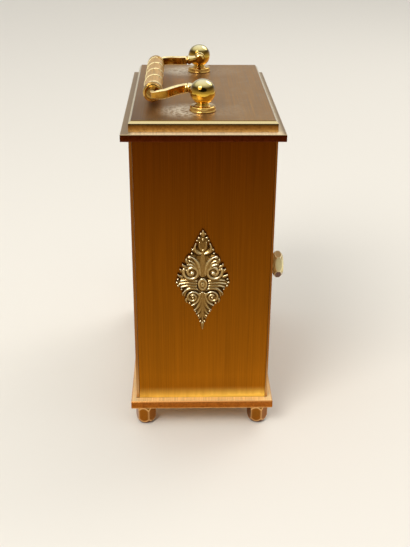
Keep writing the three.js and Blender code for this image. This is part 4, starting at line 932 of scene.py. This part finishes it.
SCROLLS = [  # centre, outer and inner radius, turns, start in degrees, half width, height
    (3.95, 4.75, 3.0, 1.0, 1.35, 25, 0.66, 1.1),
    (3.55, -5.2, 2.35, 0.75, 1.3, 165, 0.5, 0.9),
    (3.4, -4.9, 3.45, 3.1, 0.36, 135, 0.42, 0.75),
]
BEADS = [  # centre, half width and half height, height of the dome
    (3.75, 4.35, 0.95, 0.95, 1.3), (3.5, -5.35, 0.6, 0.6, 1.0), (4.7, 10.7, 0.85, 0.8, 1.2),
    (0.78, 19.5, 0.48, 0.55, 0.8), (1.35, 18.0, 0.58, 0.66, 0.85), (0.0, 17.2, 0.5, 0.75, 0.8),
    (2.0, 16.9, 0.5, 0.6, 0.7), (3.6, 13.5, 0.52, 0.6, 0.85), (3.9, 12.1, 0.5, 0.5, 0.8),
    (8.9, 2.0, 0.5, 0.5, 0.85), (9.2, 0.7, 0.55, 0.6, 0.9), (8.8, -0.6, 0.5, 0.5, 0.8),
    (5.9, 5.6, 0.55, 0.5, 0.9), (1.4, -12.9, 0.42, 0.5, 0.8), (0.75, -15.2, 0.42, 0.5, 0.75),
    (2.6, -10.9, 0.45, 0.45, 0.8), (4.7, -7.6, 0.5, 0.5, 0.8), (7.6, -2.0, 0.45, 0.45, 0.75),
]
PADS = [  # low domes that the leaves and scrolls lie on, given as the beads are
    (3.9, 4.6, 3.3, 3.2, 0.55), (3.5, -5.2, 2.7, 2.7, 0.5), (5.0, 0.4, 4.2, 2.2, 0.5),
    (0.0, 7.6, 2.4, 6.6, 0.5), (0.0, -9.0, 2.3, 6.4, 0.5), (4.2, 9.0, 2.2, 2.6, 0.5),
    (0.0, 15.0, 2.0, 3.8, 0.45),
]


def dome(distance):
    """A rounded hump: 1 in the middle, 0 from a distance of 1 on."""
    return np.sqrt(np.clip(1 - distance**2, 0, 1))


def leaf_relief(x, y, spine, width, height, veins):
    """Height of a leaf along a bent spine: a rounded body, with a raised middle if it has veins."""
    parts = 25
    p0, p1, p2 = (np.array(p, float) for p in spine)
    t = np.linspace(0, 1, parts + 1)[:, None]
    path = (1 - t) ** 2 * p0 + 2 * t * (1 - t) * p1 + t**2 * p2
    best = np.full(x.shape, 1e9)
    where = np.zeros(x.shape)
    for a, b, at in zip(path, path[1:], t[:, 0]):
        step = b - a
        share = np.clip(((x - a[0]) * step[0] + (y - a[1]) * step[1]) / (step @ step), 0, 1)
        distance = np.hypot(x - a[0] - share * step[0], y - a[1] - share * step[1])
        nearer = distance < best
        best = np.where(nearer, distance, best)
        where = np.where(nearer, at + share / parts, where)
    swell = np.sin(np.pi * np.clip(where, 0, 1) ** 0.6) ** 0.7
    reach = np.maximum(width * (0.22 + 0.78 * swell), 1e-3) * np.where(where >= 0.999, 0.5, 1)
    across = best / reach
    body = dome(across)
    if veins:
        body = body * (0.7 + 0.3 * np.cos(across * np.pi * veins))
    return np.where(across < 1, height * (0.35 + 0.65 * body), 0)


def bead_relief(x, y, cx, cy, rx, ry, height):
    distance = np.hypot((x - cx) / rx, (y - cy) / ry)
    return np.where(distance < 1, height * (0.25 + 0.75 * dome(distance)), 0)


def scroll_relief(x, y, cx, cy, outer, inner, turns, start, wire, height):
    t = np.linspace(0, 1, 90)
    angle = math.radians(start) - 2 * math.pi * turns * t
    reach = outer + (inner - outer) * t
    best = np.full(x.shape, 1e9)
    for ax, ay in zip(cx + reach * np.cos(angle), cy + reach * np.sin(angle)):
        best = np.minimum(best, np.hypot(x - ax, y - ay))
    distance = best / wire
    return np.where(distance < 1, height * (0.3 + 0.7 * dome(distance)), 0)


def boss_relief(oval):
    """Height of the boss, by distance from its middle: a rim at 0.72, a core to 0.5 and a dimple."""
    rim = 0.75 + 0.3 * np.clip(1 - ((oval - 0.72) / 0.28) ** 2, 0, 1)
    core = np.where(oval < 0.5, 0.72 + 0.45 * dome(oval / 0.5), 0)
    dimple = np.where(oval < 0.16, 0.3 * np.clip(1 - (oval / 0.16) ** 2, 0, 1), 0)
    return np.maximum(rim, core) - dimple


def ornament_field(x, y):
    """Height of the casting over its web, and whether there is metal at all."""
    ax = np.abs(x)
    above = (y - WAIST) / (RISE - WAIST)
    below = (WAIST - y) / (FALL + WAIST)
    web = ax / HALF_WIDTH + np.where(y > WAIST, above, below) < WEB_REACH
    field = np.zeros(x.shape)
    for values in LEAVES:
        field = np.maximum(field, leaf_relief(ax, y, *values))
    for values in SCROLLS:
        field = np.maximum(field, scroll_relief(ax, y, *values))
    for values in BEADS + PADS:
        field = np.maximum(field, bead_relief(ax, y, *values))
    oval = np.hypot(x / BOSS_HALF_WIDTH, y / BOSS_HALF_HEIGHT)
    field = np.where(oval < MOAT_REACH, np.where(oval < 1, boss_relief(oval), MOAT_HEIGHT), field)
    return field, web | (field > 0)


def neighbours(field):
    """The sum of each inner point's four neighbours."""
    return field[:-2, 1:-1] + field[2:, 1:-1] + field[1:-1, :-2] + field[1:-1, 2:]


def casting(x, y, height, metal):
    """Points, faces and used points of a shell: the relief and its walls, open at the back."""
    index = -np.ones(x.shape, int)
    index[metal] = np.arange(metal.sum())
    top = np.stack((x[metal], y[metal], height[metal]), axis=1)
    under = top.copy()
    under[:, 2] = BACK
    count = len(top)
    whole = metal[:-1, :-1] & metal[1:, :-1] & metal[:-1, 1:] & metal[1:, 1:]
    faces, rim = [], {}
    for r, c in zip(*np.nonzero(whole)):
        quad = [int(index[place]) for place in ((r, c), (r, c + 1), (r + 1, c + 1), (r + 1, c))]
        faces.append(quad)
        for a, b in zip(quad, quad[1:] + quad[:1]):
            edge = (min(a, b), max(a, b))
            if edge in rim:
                del rim[edge]
            else:
                rim[edge] = (a, b)
    faces += [(b, a, a + count, b + count) for a, b in rim.values()]
    used = sorted({v for face in faces for v in face})
    renumber = {v: i for i, v in enumerate(used)}
    return np.vstack((top, under))[used], [[renumber[v] for v in face] for face in faces], used


def ornaments():
    xs = np.arange(-HALF_WIDTH - GRID, HALF_WIDTH + 2 * GRID, GRID)
    ys = np.arange(-FALL - 2 * GRID, RISE + 3 * GRID, GRID)
    x, y = np.meshgrid(xs, ys)
    field, metal = ornament_field(x, y)
    soft = field.copy()
    soft[1:-1, 1:-1] = (field[1:-1, 1:-1] * 4 + neighbours(field)) / 8
    wide = soft.copy()
    for _ in range(WIDE_PASSES):
        wide[1:-1, 1:-1] = (neighbours(wide) + wide[1:-1, 1:-1]) / 5
    points, faces, used = casting(x, y, WEB + soft, metal)
    crest = CREST_BASE + CREST_BY_HEIGHT * soft + CREST_BY_STEP * (soft - wide)
    values = np.concatenate((crest[metal], np.zeros(metal.sum())))[used]
    for name, side in SIDES:
        turn = Matrix(((0, 0, side), (side, 0, 0), (0, 1, 0))).to_4x4()
        place = Matrix.Translation((side * ORNAMENT_X, CENTRE_Y, ORNAMENT_Z)) @ turn
        shaped = mesh_object(
            f"cast_ornament_{name}", moved(points * MM, place), faces, "cast", "case",
            replaces=f"side_ornament_{name}",
        )
        mark(shaped, values)


# Markings of the dial: bars and numerals laid on the enamel

NUMERALS = ("XII", "I", "II", "III", "IV", "V", "VI", "VII", "VIII", "IX", "X", "XI")
NUMERAL_HEIGHT, NUMERAL_FROM_AXIS = 6.6, 28.2
LETTER_WIDTHS = {"I": 0.36, "V": 0.84, "X": 0.82}  # all shares of the numeral's height
THICK, THIN, SERIF = 0.17, 0.055, 0.06
LETTER_LEFT, LETTER_RIGHT = 0.14, 0.86  # shares of the letter's width
SERIF_REACH = 0.8  # share of the thick stroke
MINUTE_FROM, MINUTE_TO, HOUR_BAR, MINUTE_BAR = 33.2, 34.9, 0.7, 0.28
RING_RADII, RING_WIDTH, RING_STEPS = (33.1, 35.0, 23.4), 0.22, 120
INK_THICKNESS = 0.00003


def stroke(points, faces, a, b, width):
    """Adds a flat bar from a to b."""
    a, b = Vector(a), Vector(b)
    across = Vector((b.y - a.y, a.x - b.x)).normalized() * width / 2
    start = len(points)
    points += [tuple(a - across), tuple(a + across), tuple(b + across), tuple(b - across)]
    faces.append(tuple(range(start, start + 4)))


def numeral(text):
    """Flat strokes of a Roman numeral, centred, thick and thin as engraved ones are."""
    points, faces = [], []
    height, h = NUMERAL_HEIGHT, NUMERAL_HEIGHT / 2
    thick, thin = THICK * height, THIN * height
    x = -sum(LETTER_WIDTHS[c] for c in text) * height / 2
    for letter in text:
        w = LETTER_WIDTHS[letter] * height
        left, right, middle = x + w * LETTER_LEFT, x + w * LETTER_RIGHT, x + w / 2
        lines = {
            "I": [((middle, -h), (middle, h), thick)],
            "V": [((left, h), (middle, -h), thick), ((right, h), (middle, -h), thin)],
            "X": [((left, h), (right, -h), thick), ((right, h), (left, -h), thin)],
        }
        ends = {
            "I": [(middle, -h), (middle, h)],
            "V": [(left, h), (right, h)],
            "X": [(left, h), (right, h), (left, -h), (right, -h)],
        }
        for start, end, width in lines[letter]:
            stroke(points, faces, start, end, width)
        reach = thick * SERIF_REACH
        for ex, ey in ends[letter]:
            stroke(points, faces, (ex - reach, ey), (ex + reach, ey), SERIF * height)
        x += w
    return points, faces


def ring(radius):
    """A flat ring of quads between a radius and one that is larger by the ring's width."""
    points = []
    for i in range(RING_STEPS):
        a = 2 * math.pi * i / RING_STEPS
        points += [(r * math.cos(a), r * math.sin(a)) for r in (radius, radius + RING_WIDTH)]
    count = len(points)
    return points, [(i, i + 1, (i + 3) % count, (i + 2) % count) for i in range(0, count, 2)]


def dial_marks():
    flat = []
    for k, text in enumerate(NUMERALS):
        points, faces = numeral(text)
        turn = Matrix.Rotation(-2 * math.pi * k / 12, 2)
        flat.append(([turn @ (Vector(p) + Vector((0, NUMERAL_FROM_AXIS))) for p in points], faces))
    for k in range(60):
        points, faces = [], []
        stroke(points, faces, (0, MINUTE_FROM), (0, MINUTE_TO), MINUTE_BAR if k % 5 else HOUR_BAR)
        turn = Matrix.Rotation(-2 * math.pi * k / 60, 2)
        flat.append(([turn @ Vector(p) for p in points], faces))
    flat += [ring(radius) for radius in RING_RADII]
    points, faces = merge(*flat)
    on_dial = [(x * MM, ENAMEL_Y, DIAL_Z + y * MM) for x, y in points]
    marks = mesh_object("dial_marks", on_dial, faces, "ink", "case", smooth=False)
    marks.modifiers.new("ink", "SOLIDIFY").thickness = INK_THICKNESS


# Studio

# Brightness of the room from the horizon (0) to overhead (1), and its tint
ROOM_LEVELS = [(0, 0.82), (0.1, 0.78), (0.24, 0.46), (0.5, 0.46), (0.64, 0.9), (1, 1.08)]
ROOM_TINT = (1, 0.985, 0.95)
# The person who took the photograph darkens the room in one direction, of which Y counts half
DARK_DIRECTION = Vector((0.88, 0, 0.47)).normalized()
DARK_FROM, DARK_TO, DARK_LEVEL = 0.905, 0.97, 0.06  # cosines where it starts and is full, and how dark

FLOOR_HALF = 30
LAMPS = [  # name, place, target, diameter in metres, watts
    ("key", (0.6, -0.42, 0.78), (0, 0, 0.08), 0.55, 5.7),
    ("fill", (-0.5, 0.55, 0.75), (0, 0, 0.06), 0.6, 2.0),
]
LAMP_COLOUR = (1.0, 0.97, 0.92)


def room():
    world = bpy.data.worlds.new("studio")
    scene.world = world
    world.use_nodes = True
    n = Nodes(world.node_tree)
    direction = n.add("ShaderNodeTexCoord").outputs["Generated"]
    rise = n.add("ShaderNodeSeparateXYZ", Vector=direction).outputs["Z"]
    levels = [(at, (*(level * tint for tint in ROOM_TINT), 1)) for at, level in ROOM_LEVELS]
    flattened = n.vector_math("MULTIPLY", direction, (1, 0.5, 1))
    unit = n.vector_math("NORMALIZE", flattened)
    toward = n.vector_math("DOT_PRODUCT", unit, DARK_DIRECTION, "Value")
    background = n.tree.nodes["Background"]
    n.put(background.inputs["Color"], n.ramp(rise, levels))
    n.put(background.inputs["Strength"], n.spread(toward, DARK_FROM, DARK_TO, 1.0, DARK_LEVEL, smooth=True))


def floor():
    n = Finish("floor")
    n.set(Base_Color=srgb("e6e2da"), Roughness=0.75)
    mesh = bpy.data.meshes.new("floor")
    corners = [(x * FLOOR_HALF, y * FLOOR_HALF, 0) for x, y in ((-1, -1), (1, -1), (1, 1), (-1, 1))]
    mesh.from_pydata(corners, [], [(0, 1, 2, 3)])
    mesh.materials.append(n.material)
    obj = bpy.data.objects.new("floor", mesh)
    scene.collection.objects.link(obj)


def lamps():
    for name, place, target, diameter, power in LAMPS:
        light = bpy.data.lights.new(name, "AREA")
        light.shape = "DISK"
        light.size = diameter
        light.energy = power
        light.color = LAMP_COLOUR
        lamp = bpy.data.objects.new(name, light)
        lamp.location = place
        lamp.rotation_euler = (Vector(target) - Vector(place)).to_track_quat("-Z", "Y").to_euler()
        scene.collection.objects.link(lamp)


dress_frame()
soften_edges()
ball_posts()
feet()
knob()
grip()
collars()
arms()
ornaments()
dial_marks()
aim_camera()
scene.view_settings.view_transform = "Standard"
room()
floor()
lamps()
